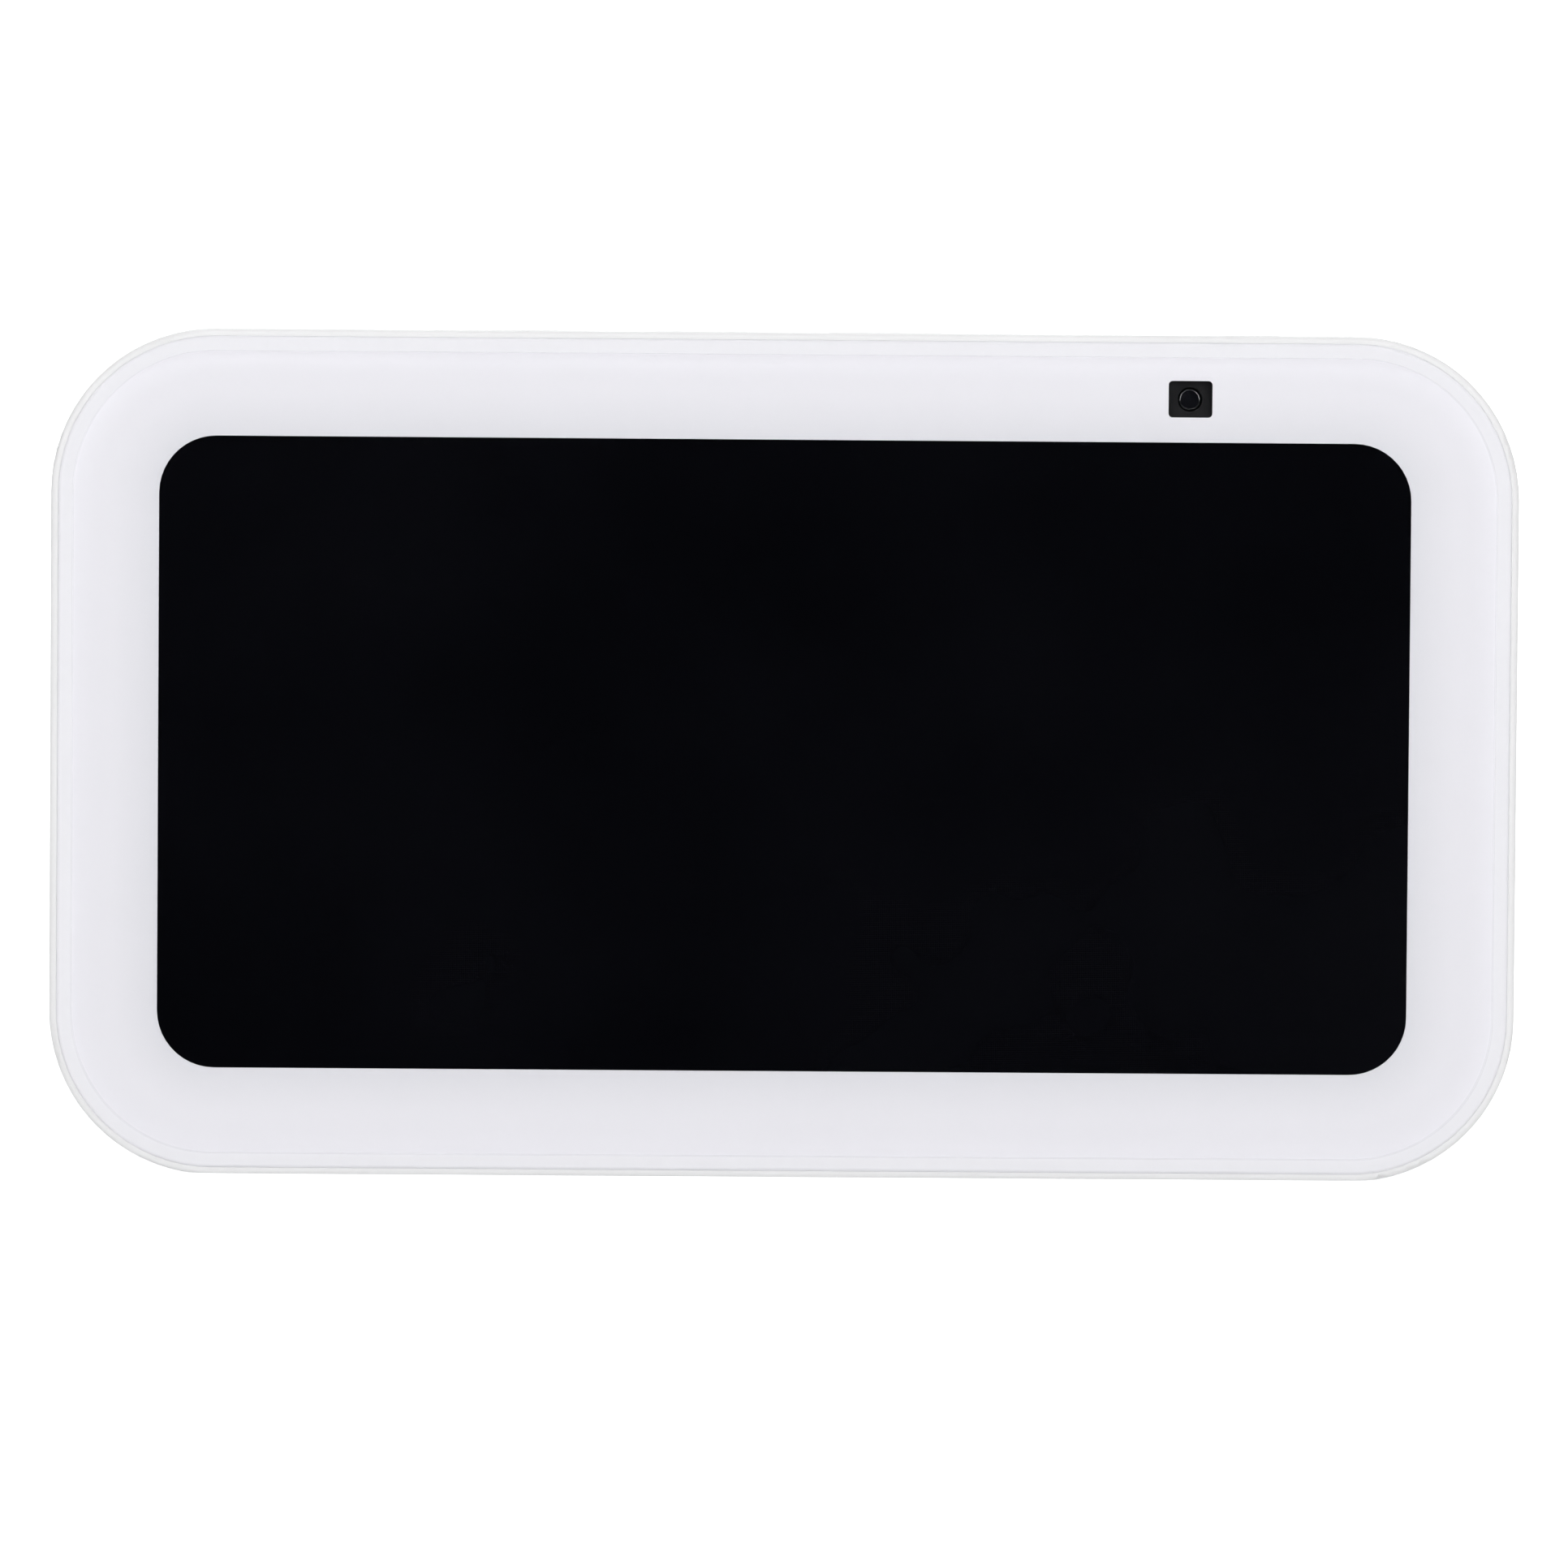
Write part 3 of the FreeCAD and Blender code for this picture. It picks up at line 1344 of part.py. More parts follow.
revolve(b, [(7.4, -12.9), (15.6, -12.9), (15.6, -10.4), (7.4, -10.4)])
b = body("speaker_magnet", DRV)
revolve(b, [(9.0, -18.4), (17.0, -18.4), (17.0, -12.9), (9.0, -12.9)])
b = body("speaker_yoke", DRV)
revolve(b, [(0, -21.0), (16.4, -21.0), (16.4, -18.4), (6.0, -18.4), (6.0, -10.6), (0, -10.6)])

# ================================================================ power inlet
b = body("port_collar")
sk = sketch(b, off=d("port_y0"))
circle(sk, 0, d("jack_z"), d("port_out"))
circle(sk, 0, d("jack_z"), d("port_rad"))
pad(b, sk, d("port_y1") - d("port_y0"))
fillet(b, edges(b.Tip.Shape, lambda p: abs(p.y - V["port_y1"]) < 1e-6), 0.3)

b = body("dc_jack")
sk = sketch(b, off=73.4)
rrect(sk, 0, 15.6, 9.0, 10.2, 0.4)
pad(b, sk, 11.0)
sk = sketch(b, off=83.3)
circle(sk, 0, d("jack_z"), 6.7)
pad(b, sk, 1.1)
sk = sketch(b, off=76.0)
circle(sk, 0, d("jack_z"), 3.1)
circle(sk, 0, d("jack_z"), 1.0)
pocket(b, sk, 12)
sk = sketch(b, off=83.6)
circle(sk, 0, d("jack_z"), 1.3)
pocket(b, sk, 12)

b = body("inlet_board")
sk = sketch(b, "XY_Plane", off=9.1)
rrect(sk, 0, 78.05, 18.0, 10.1, 1.0)
pad(b, sk, 1.4)
sk = sketch(b, "XY_Plane", off=8)
for x in (-6.6, 6.6):
    circle(sk, x, 75.6, 0.95)
pocket(b, sk, 4)
screws(
    "inlet_screws", [[x, 75.6, 10.5] for x in (-6.6, 6.6)], 1.6, 1.0, 0.8, 4.4, (0, 0, -1)
)


def wire_run(pts, r, bend):
    """A round wire along a polyline with rounded corners."""
    segs, prev = [], Vector(*pts[0])
    for i in range(1, len(pts) - 1):
        p0, p1, p2 = Vector(*pts[i - 1]), Vector(*pts[i]), Vector(*pts[i + 1])
        a = (p0 - p1).normalize()
        c = (p2 - p1).normalize()
        half = a.getAngle(c) / 2
        t = bend / math.tan(half)
        s0, s1 = p1 + a * t, p1 + c * t
        bis = (a + c).normalize()
        ctr = p1 + bis * (bend / math.sin(half))
        m = ctr - bis * bend
        segs.append(Part.LineSegment(prev, s0).toShape())
        segs.append(Part.Arc(s0, m, s1).toShape())
        prev = s1
    segs.append(Part.LineSegment(prev, Vector(*pts[-1])).toShape())
    path = Part.Wire(segs)
    st = Vector(*pts[0])
    ring = Part.Wire([Part.Circle(st, (Vector(*pts[1]) - st).normalize(), r).toShape()])
    return path.makePipeShell([ring], True, True)


def in_world(x, dd, s2):
    y, z = to_body(dd, s2)
    return (x, y, z)


shape_node(
    "speaker_lead",
    wire_run(
        [
            (-36.6, 34.0, 30.0),
            (-54.0, 34.0, 30.0),
            in_world(-54.0, 12.0, 49.5),
            in_world(-43.0, 12.0, 49.5),
        ],
        0.7,
        4.0,
    ),
)
shape_node(
    "power_lead",
    wire_run(
        [
            (-9.0, 81.0, 11.4),
            (-12.5, 81.0, 11.4),
            (-44.0, 72.5, 14.0),
            (-56.0, 40.0, 20.0),
            in_world(-56.0, 12.0, 31.5),
            in_world(-43.0, 12.0, 31.5),
        ],
        0.9,
        4.0,
    ),
)

# ================================================================ check and write
# the origin goes to the middle of the footprint
SHIFT = Placement(Vector(0, -V["origin_back"], 0), Rotation())
for o in NAMES:
    o.Placement = SHIFT.multiply(o.Placement)
doc.recompute()
bad = []
for o in doc.Objects:
    if "Invalid" in o.State or "Error" in o.State:
        bad.append(o.Name + " " + str(o.State))
for o in NAMES:
    if o.Shape.isNull() or not o.Shape.isValid() or not o.Shape.Solids:
        bad.append(o.Label + " has no valid solid")
if bad:
    raise RuntimeError("; ".join(bad))
for o in NAMES:
    o.Shape.exportStep("parts/%s.step" % o.Label)
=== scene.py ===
import json
import math

import bmesh
import bpy
import numpy as np
from mathutils import Matrix, Vector


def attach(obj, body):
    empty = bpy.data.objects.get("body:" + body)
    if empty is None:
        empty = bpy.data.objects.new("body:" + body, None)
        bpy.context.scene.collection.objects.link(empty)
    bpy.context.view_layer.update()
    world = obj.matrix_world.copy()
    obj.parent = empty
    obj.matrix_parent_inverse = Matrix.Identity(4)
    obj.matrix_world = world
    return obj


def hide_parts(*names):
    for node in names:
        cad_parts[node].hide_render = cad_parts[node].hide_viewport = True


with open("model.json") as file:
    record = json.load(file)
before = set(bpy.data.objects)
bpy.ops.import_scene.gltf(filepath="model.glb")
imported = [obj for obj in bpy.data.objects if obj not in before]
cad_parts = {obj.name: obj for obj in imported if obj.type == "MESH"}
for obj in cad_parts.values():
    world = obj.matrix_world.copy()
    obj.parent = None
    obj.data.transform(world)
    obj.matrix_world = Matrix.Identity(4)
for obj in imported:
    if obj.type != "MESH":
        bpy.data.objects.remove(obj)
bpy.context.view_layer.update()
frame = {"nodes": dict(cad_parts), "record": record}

NODES = frame["nodes"]

# ------------------------------------------------------------------ the face's own frame
TILT = math.radians(18.0)
ORIGIN_BACK = 45.597
GROUND = 1.5
FACE_W, FACE_H = 147.0, 84.8


def face(x, deep, up):
    """Millimetres across, into and up the face, to metres in the row's frame."""
    return Vector(
        (
            x / 1000.0,
            (up * math.sin(TILT) + deep * math.cos(TILT) - ORIGIN_BACK) / 1000.0,
            (GROUND + up * math.cos(TILT) - deep * math.sin(TILT)) / 1000.0,
        )
    )


FACE_NORMAL = Vector((0, -math.cos(TILT), math.sin(TILT)))
FACE_UP = Vector((0, math.sin(TILT), math.cos(TILT)))


# ------------------------------------------------------------------ node helpers
class Mat:
    """A node material with short calls for the nodes used here."""

    def __init__(self, name):
        self.m = bpy.data.materials.new(name)
        self.m.use_nodes = True
        self.t = self.m.node_tree
        self.t.nodes.clear()
        self.out = self.t.nodes.new("ShaderNodeOutputMaterial")
        self.b = self.t.nodes.new("ShaderNodeBsdfPrincipled")
        self.t.links.new(self.b.outputs[0], self.out.inputs[0])

    def n(self, kind, **props):
        node = self.t.nodes.new("ShaderNode" + kind)
        for k, v in props.items():
            setattr(node, k, v)
        return node

    def link(self, a, b):
        self.t.links.new(a, b)

    def put(self, sock, v):
        if hasattr(v, "is_output") or isinstance(v, bpy.types.NodeSocket):
            self.link(v, sock)
        else:
            sock.default_value = v

    def math(self, op, a, b=None, c=None, clamp=False):
        node = self.n("Math", operation=op, use_clamp=clamp)
        for i, v in enumerate((a, b, c)):
            if v is not None:
                self.put(node.inputs[i], v)
        return node.outputs[0]

    def vmath(self, op, a, b=None, scale=None):
        node = self.n("VectorMath", operation=op)
        self.put(node.inputs[0], a)
        if b is not None:
            self.put(node.inputs[1], b)
        if scale is not None:
            self.put(node.inputs["Scale"], scale)
        return node.outputs["Value" if op in ("LENGTH", "DOT_PRODUCT", "DISTANCE") else "Vector"]

    def coord(self, which="Object"):
        return self.n("TexCoord").outputs[which]

    def noise(self, scale, detail=3.0, rough=0.5, vec=None, dist=0.0):
        node = self.n("TexNoise")
        self.put(node.inputs["Vector"], vec if vec is not None else self.coord())
        node.inputs["Scale"].default_value = scale
        node.inputs["Detail"].default_value = detail
        node.inputs["Roughness"].default_value = rough
        node.inputs["Distortion"].default_value = dist
        return node.outputs["Fac"]

    def voronoi(self, scale, feature="F1", vec=None, out="Distance", randomness=1.0):
        node = self.n("TexVoronoi", feature=feature)
        self.put(node.inputs["Vector"], vec if vec is not None else self.coord())
        node.inputs["Scale"].default_value = scale
        node.inputs["Randomness"].default_value = randomness
        return node.outputs[out]

    def ramp(self, fac, stops, interp="LINEAR"):
        node = self.n("ValToRGB")
        self.put(node.inputs[0], fac)
        cr = node.color_ramp
        cr.interpolation = interp
        while len(cr.elements) < len(stops):
            cr.elements.new(0.5)
        for e, (p, c) in zip(cr.elements, stops):
            e.position = p
            e.color = (c[0], c[1], c[2], 1.0) if hasattr(c, "__len__") else (c, c, c, 1.0)
        return node.outputs[0]

    def mixc(self, fac, a, b, kind="MIX"):
        node = self.n("Mix", data_type="RGBA", blend_type=kind)
        self.put(node.inputs[0], fac)
        for i, v in ((6, a), (7, b)):
            if hasattr(v, "is_output"):
                self.link(v, node.inputs[i])
            else:
                node.inputs[i].default_value = (v[0], v[1], v[2], 1.0)
        return node.outputs[2]

    def span(self, v, a0, a1, b0, b1, smooth=False):
        node = self.n("MapRange", interpolation_type="SMOOTHSTEP" if smooth else "LINEAR")
        self.put(node.inputs[0], v)
        for i, k in enumerate((a0, a1, b0, b1), start=1):
            self.put(node.inputs[i], k)
        return node.outputs[0]

    def bump(self, height, strength, dist, normal=None):
        node = self.n("Bump")
        node.inputs["Strength"].default_value = strength
        node.inputs["Distance"].default_value = dist
        self.put(node.inputs["Height"], height)
        if normal is not None:
            self.link(normal, node.inputs["Normal"])
        return node.outputs[0]

    def set(self, **kw):
        for k, v in kw.items():
            s = self.b.inputs[k.replace("_", " ")]
            if hasattr(v, "is_output"):
                self.link(v, s)
            elif hasattr(v, "__len__") and len(v) == 3:
                s.default_value = (v[0], v[1], v[2], 1.0)
            else:
                s.default_value = v
        return self


def lin(r, g, b):
    """sRGB 0-255 to linear."""
    out = []
    for c in (r, g, b):
        c = c / 255.0
        out.append(c / 12.92 if c <= 0.04045 else ((c + 0.055) / 1.055) ** 2.4)
    return tuple(out)


def shade(c, k):
    return tuple(min(1.0, v * k) for v in c)


# ------------------------------------------------------------------ materials
def moulded(name, color, rough=0.42, grain=9000.0, grain_depth=0.00003, spec=0.5, vary=0.02, outline=None):
    """Injection moulded plastic: fine spark-eroded grain, slow gloss and colour drift, faint scuffs."""
    m = Mat(name)
    big = m.noise(38.0, 4.0, 0.55)
    fine = m.noise(grain, 2.0, 0.6)
    scuff = m.noise(900.0, 6.0, 0.7, dist=0.6)
    c = m.mixc(m.span(big, 0.3, 0.7, 0.0, 1.0), shade(color, 1 - vary), shade(color, 1 + vary))
    r = m.math("ADD", m.span(fine, 0.3, 0.7, rough - 0.05, rough + 0.05), m.span(scuff, 0.58, 0.72, 0.0, 0.07))
    m.set(Base_Color=c, Roughness=r, Specular_IOR_Level=spec, IOR=1.49)
    m.set(Normal=m.bump(fine, 0.35, grain_depth, outline_normal(m, *outline) if outline else None))
    return m.m


def metal(name, color, rough=0.3, brush=(1.0, 1.0, 1.0), grain=1800.0, depth=0.00002):
    """Sheet or turned metal: directional grain, oxide drift and handling marks."""
    m = Mat(name)
    mp = m.n("Mapping")
    m.link(m.coord(), mp.inputs[0])
    mp.inputs["Scale"].default_value = brush
    g = m.noise(grain, 3.0, 0.65, vec=mp.outputs[0])
    blot = m.noise(70.0, 5.0, 0.6)
    c = m.mixc(m.span(blot, 0.3, 0.7, 0.0, 1.0), shade(color, 0.88), shade(color, 1.08))
    r = m.math("ADD", m.span(g, 0.3, 0.7, rough - 0.08, rough + 0.1), m.span(blot, 0.45, 0.75, 0.0, 0.12))
    m.set(Base_Color=c, Roughness=r, Metallic=1.0, Normal=m.bump(g, 0.3, depth))
    return m.m


def board_mat(name):
    """Solder-masked board: copper runs under green mask, bare pads, silk-free."""
    m = Mat(name)
    v = m.coord()
    brick = m.n("TexBrick")
    m.link(v, brick.inputs["Vector"])
    brick.inputs["Scale"].default_value = 420.0
    brick.inputs["Mortar Size"].default_value = 0.03
    brick.inputs["Color1"].default_value = (0.012, 0.085, 0.045, 1)
    brick.inputs["Color2"].default_value = (0.016, 0.11, 0.06, 1)
    brick.inputs["Mortar"].default_value = (0.03, 0.17, 0.09, 1)
    dots = m.voronoi(650.0, randomness=0.7)
    pad = m.math("LESS_THAN", dots, 0.12)
    c = m.mixc(pad, brick.outputs["Color"], (0.62, 0.58, 0.50))
    m.set(
        Base_Color=c,
        Roughness=m.math("ADD", m.span(m.noise(260.0), 0.3, 0.7, 0.28, 0.4), m.math("MULTIPLY", pad, 0.1)),
        Normal=m.bump(m.math("ADD", brick.outputs["Fac"], m.math("MULTIPLY", pad, 1.5)), 0.4, 0.00004),
    )
    return m.m


def rubber_mat(name, color, rough=0.7):
    """Moulded elastomer: dull, stippled, with bloom and picked-up dust."""
    m = Mat(name)
    st = m.voronoi(2600.0)
    dust = m.noise(160.0, 6.0, 0.7)
    c = m.mixc(m.span(dust, 0.5, 0.75, 0.0, 0.35), shade(color, 0.96), tuple(0.75 * x + 0.12 for x in color))
    m.set(
        Base_Color=c,
        Roughness=m.span(dust, 0.3, 0.7, rough - 0.06, rough + 0.14),
        Specular_IOR_Level=0.35,
        Normal=m.bump(st, 0.35, 0.00006),
    )
    return m.m


def foam_mat(name, color):
    m = Mat(name)
    cell = m.voronoi(2400.0, feature="SMOOTH_F1")
    # painted shade: the pits of the cells are darkened
    m.set(
        Base_Color=m.mixc(m.span(cell, 0.1, 0.6, 0.0, 1.0), shade(color, 0.6), shade(color, 1.3)),
        Roughness=m.span(cell, 0.1, 0.6, 0.85, 0.98),
        Normal=m.bump(cell, 0.8, 0.0002),
    )
    return m.m


def cable_mat(name):
    """Flat flexible cable: amber film over close parallel copper runs."""
    m = Mat(name)
    w = m.n("TexWave", wave_type="BANDS", bands_direction="X")
    m.link(m.coord(), w.inputs[0])
    w.inputs["Scale"].default_value = 620.0
    w.inputs["Distortion"].default_value = 0.0
    f = m.span(w.outputs["Fac"], 0.4, 0.6, 0.0, 1.0)
    m.set(
        Base_Color=m.mixc(f, (0.36, 0.16, 0.03), (0.62, 0.34, 0.10)),
        Roughness=m.span(m.noise(300.0), 0.3, 0.7, 0.25, 0.38),
        Coat_Weight=0.4,
        Normal=m.bump(f, 0.4, 0.00003),
    )
    return m.m


def cone_mat(name, color):
    """Pressed pulp with fibres."""
    m = Mat(name)
    f1 = m.noise(1400.0, 5.0, 0.75, dist=2.5)
    m.set(
        Base_Color=m.mixc(m.span(f1, 0.35, 0.65, 0.0, 1.0), shade(color, 0.7), shade(color, 1.5)),
        Roughness=m.span(f1, 0.35, 0.65, 0.75, 0.92),
        Normal=m.bump(f1, 0.5, 0.00008),
    )
    return m.m


def cloth_mat(name, color, pitch=1400.0):
    m = Mat(name)
    w1 = m.n("TexWave", bands_direction="X")
    w2 = m.n("TexWave", bands_direction="Y")
    for w in (w1, w2):
        m.link(m.coord(), w.inputs[0])
        w.inputs["Scale"].default_value = pitch / 6.28
        w.inputs["Distortion"].default_value = 0.4
    f = m.math("MULTIPLY", w1.outputs["Fac"], w2.outputs["Fac"])
    # painted shade: where the threads dip between crossings the colour is darkened
    m.set(
        Base_Color=m.mixc(f, shade(color, 0.6), shade(color, 1.2)),
        Roughness=m.span(f, 0, 1, 0.95, 0.8),
        Sheen_Weight=0.2,
        Normal=m.bump(f, 0.7, 0.0001),
    )
    return m.m


# ---- the printed film under the glass: white ink, with painted shade beside the screen's edge and painted light towards the outer rim
WIN_W, WIN_H, WIN_R = 125.5, 63.4, 5.75
WIN_C = FACE_H / 2


def face_coords(m):
    """Across and up the face from the middle of the screen, in millimetres."""
    p = m.vmath("SUBTRACT", m.coord(), tuple(face(0, 0, WIN_C)))
    x = m.math("MULTIPLY", m.vmath("DOT_PRODUCT", p, (1, 0, 0)), 1000.0)
    y = m.math("MULTIPLY", m.vmath("DOT_PRODUCT", p, tuple(FACE_UP)), 1000.0)
    return x, y


def window_distance(m, x, y, w, h, r):
    ax = m.math("MAXIMUM", m.math("SUBTRACT", m.math("ABSOLUTE", x), w / 2 - r), 0.0)
    ay = m.math("MAXIMUM", m.math("SUBTRACT", m.math("ABSOLUTE", y), h / 2 - r), 0.0)
    return m.math(
        "SUBTRACT",
        m.math("SQRT", m.math("ADD", m.math("MULTIPLY", ax, ax), m.math("MULTIPLY", ay, ay))),
        r,
    )


def outline_normal(m, half_w, half_h, rad, round_r, front):
    """The true direction of the rounded outline's surface, so that its arcs shade as arcs."""
    x, y = face_coords(m)
    p = m.vmath("SUBTRACT", m.coord(), tuple(face(0, front, WIN_C)))
    deep = m.math("MULTIPLY", m.vmath("DOT_PRODUCT", p, tuple(-FACE_NORMAL)), 1000.0)
    gx = m.math("MULTIPLY", m.math("MAXIMUM", m.math("SUBTRACT", m.math("ABSOLUTE", x), half_w - rad), 0.0), m.math("SIGN", x))
    gy = m.math("MULTIPLY", m.math("MAXIMUM", m.math("SUBTRACT", m.math("ABSOLUTE", y), half_h - rad), 0.0), m.math("SIGN", y))
    gxv = m.n("CombineXYZ")
    m.link(gx, gxv.inputs[0])
    g = m.vmath("ADD", gxv.outputs[0], m.vmath("SCALE", tuple(FACE_UP), scale=gy))
    g = m.vmath("NORMALIZE", g)
    lift = m.math("DIVIDE", m.math("SUBTRACT", round_r, deep), round_r, clamp=True)
    side = m.math("SQRT", m.math("SUBTRACT", 1.0, m.math("MULTIPLY", lift, lift)))
    nrm = m.vmath("ADD", m.vmath("SCALE", tuple(FACE_NORMAL), scale=lift), m.vmath("SCALE", g, scale=side))
    nrm = m.vmath("NORMALIZE", nrm)
    true = m.n("NewGeometry").outputs["True Normal"]
    agree = m.vmath("DOT_PRODUCT", nrm, true)
    nrm = m.vmath("SCALE", nrm, scale=m.math("SIGN", agree))
    near = m.math("GREATER_THAN", m.math("ABSOLUTE", agree), 0.90)
    pick = m.n("Mix", data_type="VECTOR")
    m.put(pick.inputs[0], near)
    m.link(true, pick.inputs[4])
    m.link(nrm, pick.inputs[5])
    return pick.outputs[1]


def film_mat():
    m = Mat("white_print_painted_light_and_shade")
    x, y = face_coords(m)
    dist = window_distance(m, x, y, WIN_W, WIN_H, WIN_R)
    wob = m.math("MULTIPLY", m.math("SUBTRACT", m.noise(60.0, 2.0), 0.5), 0.8)
    dd = m.math("ADD", dist, wob)
    near, mid, far_lit = FILM_NEAR_SHADED, FILM_MID, FILM_EDGE_LIT
    # painted shade: the ink is darkened within a few millimetres of the screen's edge
    c = m.ramp(
        m.span(dd, 0.0, 10.0, 0.0, 1.0),
        [(0.0, near), (0.18, tuple((a + b) / 2 for a, b in zip(near, mid))), (0.45, mid), (1.0, mid)],
        "LINEAR",
    )
    # painted light: the outer band is brighter than the ink, brightest at the right and the top, standing in for
    # the light the frame's lip keeps off
    edge = m.mixc(m.span(x, -70.0, 70.0, 0.0, 1.0), far_lit, FILM_EDGE_RIGHT_LIT)
    edge = m.mixc(m.span(y, 18.0, 39.0, 0.0, 1.0), edge, FILM_EDGE_TOP_LIT)
    c = m.mixc(m.span(dd, 6.2, 9.0, 0.0, 1.0), c, edge)
    # painted light: the ink is brightened towards the bottom
    c = m.vmath("SCALE", c, scale=m.span(y, -42.0, -24.0, 1.035, 1.0))
    ink = m.noise(5200.0, 2.0, 0.6)
    c = m.mixc(m.span(ink, 0.35, 0.65, 0.0, 0.05), c, shade(far_lit, 0.93))
    m.set(Base_Color=c, Roughness=m.span(ink, 0.3, 0.7, 0.55, 0.68), Specular_IOR_Level=0.1)
    m.set(Normal=m.bump(ink, 0.15, 0.00001))
    return m.m


def display_mat():
    """Unlit panel behind its polariser: almost black, with a faint pixel grid and a soft sheen."""
    m = Mat("unlit_display")
    x, y = face_coords(m)
    px = m.math("SINE", m.math("MULTIPLY", x, 6.2832 / 0.13))
    py = m.math("SINE", m.math("MULTIPLY", y, 6.2832 / 0.13))
    grid = m.math("MULTIPLY", m.math("ADD", px, py), 0.25)
    cloud = m.noise(22.0, 3.0)
    k = m.math("ADD", m.span(grid, -0.5, 0.5, 0.0, 0.35), m.span(cloud, 0.3, 0.7, 0.0, 0.65))
    m.set(
        Base_Color=m.mixc(k, shade(DISPLAY, 0.75), shade(DISPLAY, 1.25)),
        Roughness=m.span(cloud, 0.3, 0.7, 0.2, 0.3),
        Specular_IOR_Level=0.06,
    )
    return m.m


def glass_mat():
    """Clear cover glass with a fingerprint-repelling coat. Lamps shine through to what lies under it."""
    m = Mat("cover_glass_clear")
    smear = m.noise(30.0, 6.0, 0.65, dist=0.8)
    fine = m.noise(700.0, 4.0, 0.7)
    m.set(
        Base_Color=(0.99, 0.99, 0.996),
        Transmission_Weight=1.0,
        IOR=1.38,
        Roughness=m.math("ADD", m.span(smear, 0.45, 0.75, 0.0, 0.018), m.span(fine, 0.62, 0.8, 0.0, 0.02)),
    )
    # the ground edge is painted white
    x, y = face_coords(m)
    edge = window_distance(m, x, y, 145.4, 83.2, 15.6)
    paint = m.n("BsdfDiffuse")
    m.link(m.mixc(m.span(fine, 0.3, 0.7, 0.0, 1.0), (0.826, 0.822, 0.858), (0.838, 0.834, 0.870)), paint.inputs[0])
    body = m.n("MixShader")
    m.link(m.span(edge, -1.42, -1.40, 0.0, 1.0), body.inputs[0])
    m.link(m.b.outputs[0], body.inputs[1])
    m.link(paint.outputs[0], body.inputs[2])
    lp = m.n("LightPath")
    clear = m.n("BsdfTransparent")
    clear.inputs[0].default_value = (0.985, 0.985, 0.99, 1)
    mix = m.n("MixShader")
    either = m.math("MAXIMUM", lp.outputs["Is Shadow Ray"], lp.outputs["Is Diffuse Ray"])
    m.link(either, mix.inputs[0])
    m.link(body.outputs[0], mix.inputs[1])
    m.link(clear.outputs[0], mix.inputs[2])
    m.link(mix.outputs[0], m.out.inputs[0])
    return m.m


def lens_mat():
    """Coated camera lens: dark, with a painted reflection: the coating's faint green and violet bloom is coloured
    into the base by viewing angle.
    """
    m = Mat("camera_lens_coated")
    lw = m.n("LayerWeight")
    lw.inputs[0].default_value = 0.35
    # the dark colour is the lens's own; the green and violet by angle is a painted reflection
    c = m.ramp(lw.outputs["Facing"], [(0.0, (0.0050, 0.0053, 0.0072)), (0.4, (0.006, 0.009, 0.006)), (1.0, (0.03, 0.012, 0.05))])
    m.set(
        Base_Color=c,
        Roughness=m.span(m.noise(800.0), 0.3, 0.7, 0.04, 0.09),
        Coat_Weight=1.0,
        Coat_Roughness=0.03,
        IOR=1.5,
    )
    return m.m


def knit_mat():
    """Fine knitted cover. The map 'knit' runs in millimetres over the stretched cloth."""
    m = Mat("knit_fabric")
    uv = m.n("UVMap", uv_map="knit").outputs[0]
    sep = m.n("SeparateXYZ")
    m.link(uv, sep.inputs[0])
    u, v = sep.outputs[0], sep.outputs[1]
    pitch_u, pitch_v = 1.10, 0.82
    # wales lean left and right in turn, as the two legs of each stitch do
    cu = m.math("DIVIDE", u, pitch_u)
    fu = m.math("SUBTRACT", m.math("FRACT", cu), 0.5)
    leg = m.math("ABSOLUTE", fu)
    cv = m.math("ADD", m.math("DIVIDE", v, pitch_v), m.math("MULTIPLY", leg, 0.95))
    wob = m.math("MULTIPLY", m.math("SUBTRACT", m.noise(420.0, 2.0), 0.5), 0.28)
    fv = m.math("SUBTRACT", m.math("FRACT", m.math("ADD", cv, wob)), 0.5)
    yarn_v = m.math("SUBTRACT", 1.0, m.math("POWER", m.math("MULTIPLY", m.math("ABSOLUTE", fv), 2.0), 2.0))
    yarn_u = m.math(
        "SUBTRACT", 1.0, m.math("POWER", m.math("MULTIPLY", m.math("ABSOLUTE", m.math("SUBTRACT", leg, 0.25)), 4.0), 2.2)
    )
    stitch = m.math("MULTIPLY", m.math("MAXIMUM", yarn_v, 0.0), m.math("MAXIMUM", yarn_u, 0.0))
    stitch = m.math("POWER", m.math("MAXIMUM", stitch, 0.0), 0.5)
    fib = m.noise(5200.0, 4.0, 0.75, dist=1.2)
    melange = m.noise(900.0, 3.0, 0.6)
    big = m.noise(24.0, 3.0, 0.5)
    h = m.math("ADD", stitch, m.math("MULTIPLY", fib, 0.22))
    # painted shade: the grooves between stitches are coloured half as bright as the yarn
    deep = shade(KNIT, 0.50)
    c = m.mixc(m.span(stitch, 0.08, 0.62, 0.0, 1.0), deep, KNIT)
    c = m.mixc(m.span(melange, 0.50, 0.68, 0.0, 0.30), c, KNIT_FLECK)
    c = m.mixc(m.span(big, 0.3, 0.7, 0.0, 0.10), c, shade(KNIT, 0.86))
    m.set(
        Base_Color=c,
        Roughness=m.span(fib, 0.3, 0.7, 0.82, 0.96),
        Specular_IOR_Level=0.25,
        Sheen_Weight=0.35,
        Sheen_Roughness=0.45,
        Normal=m.bump(h, 0.85, 0.00016),
    )
    return m.m


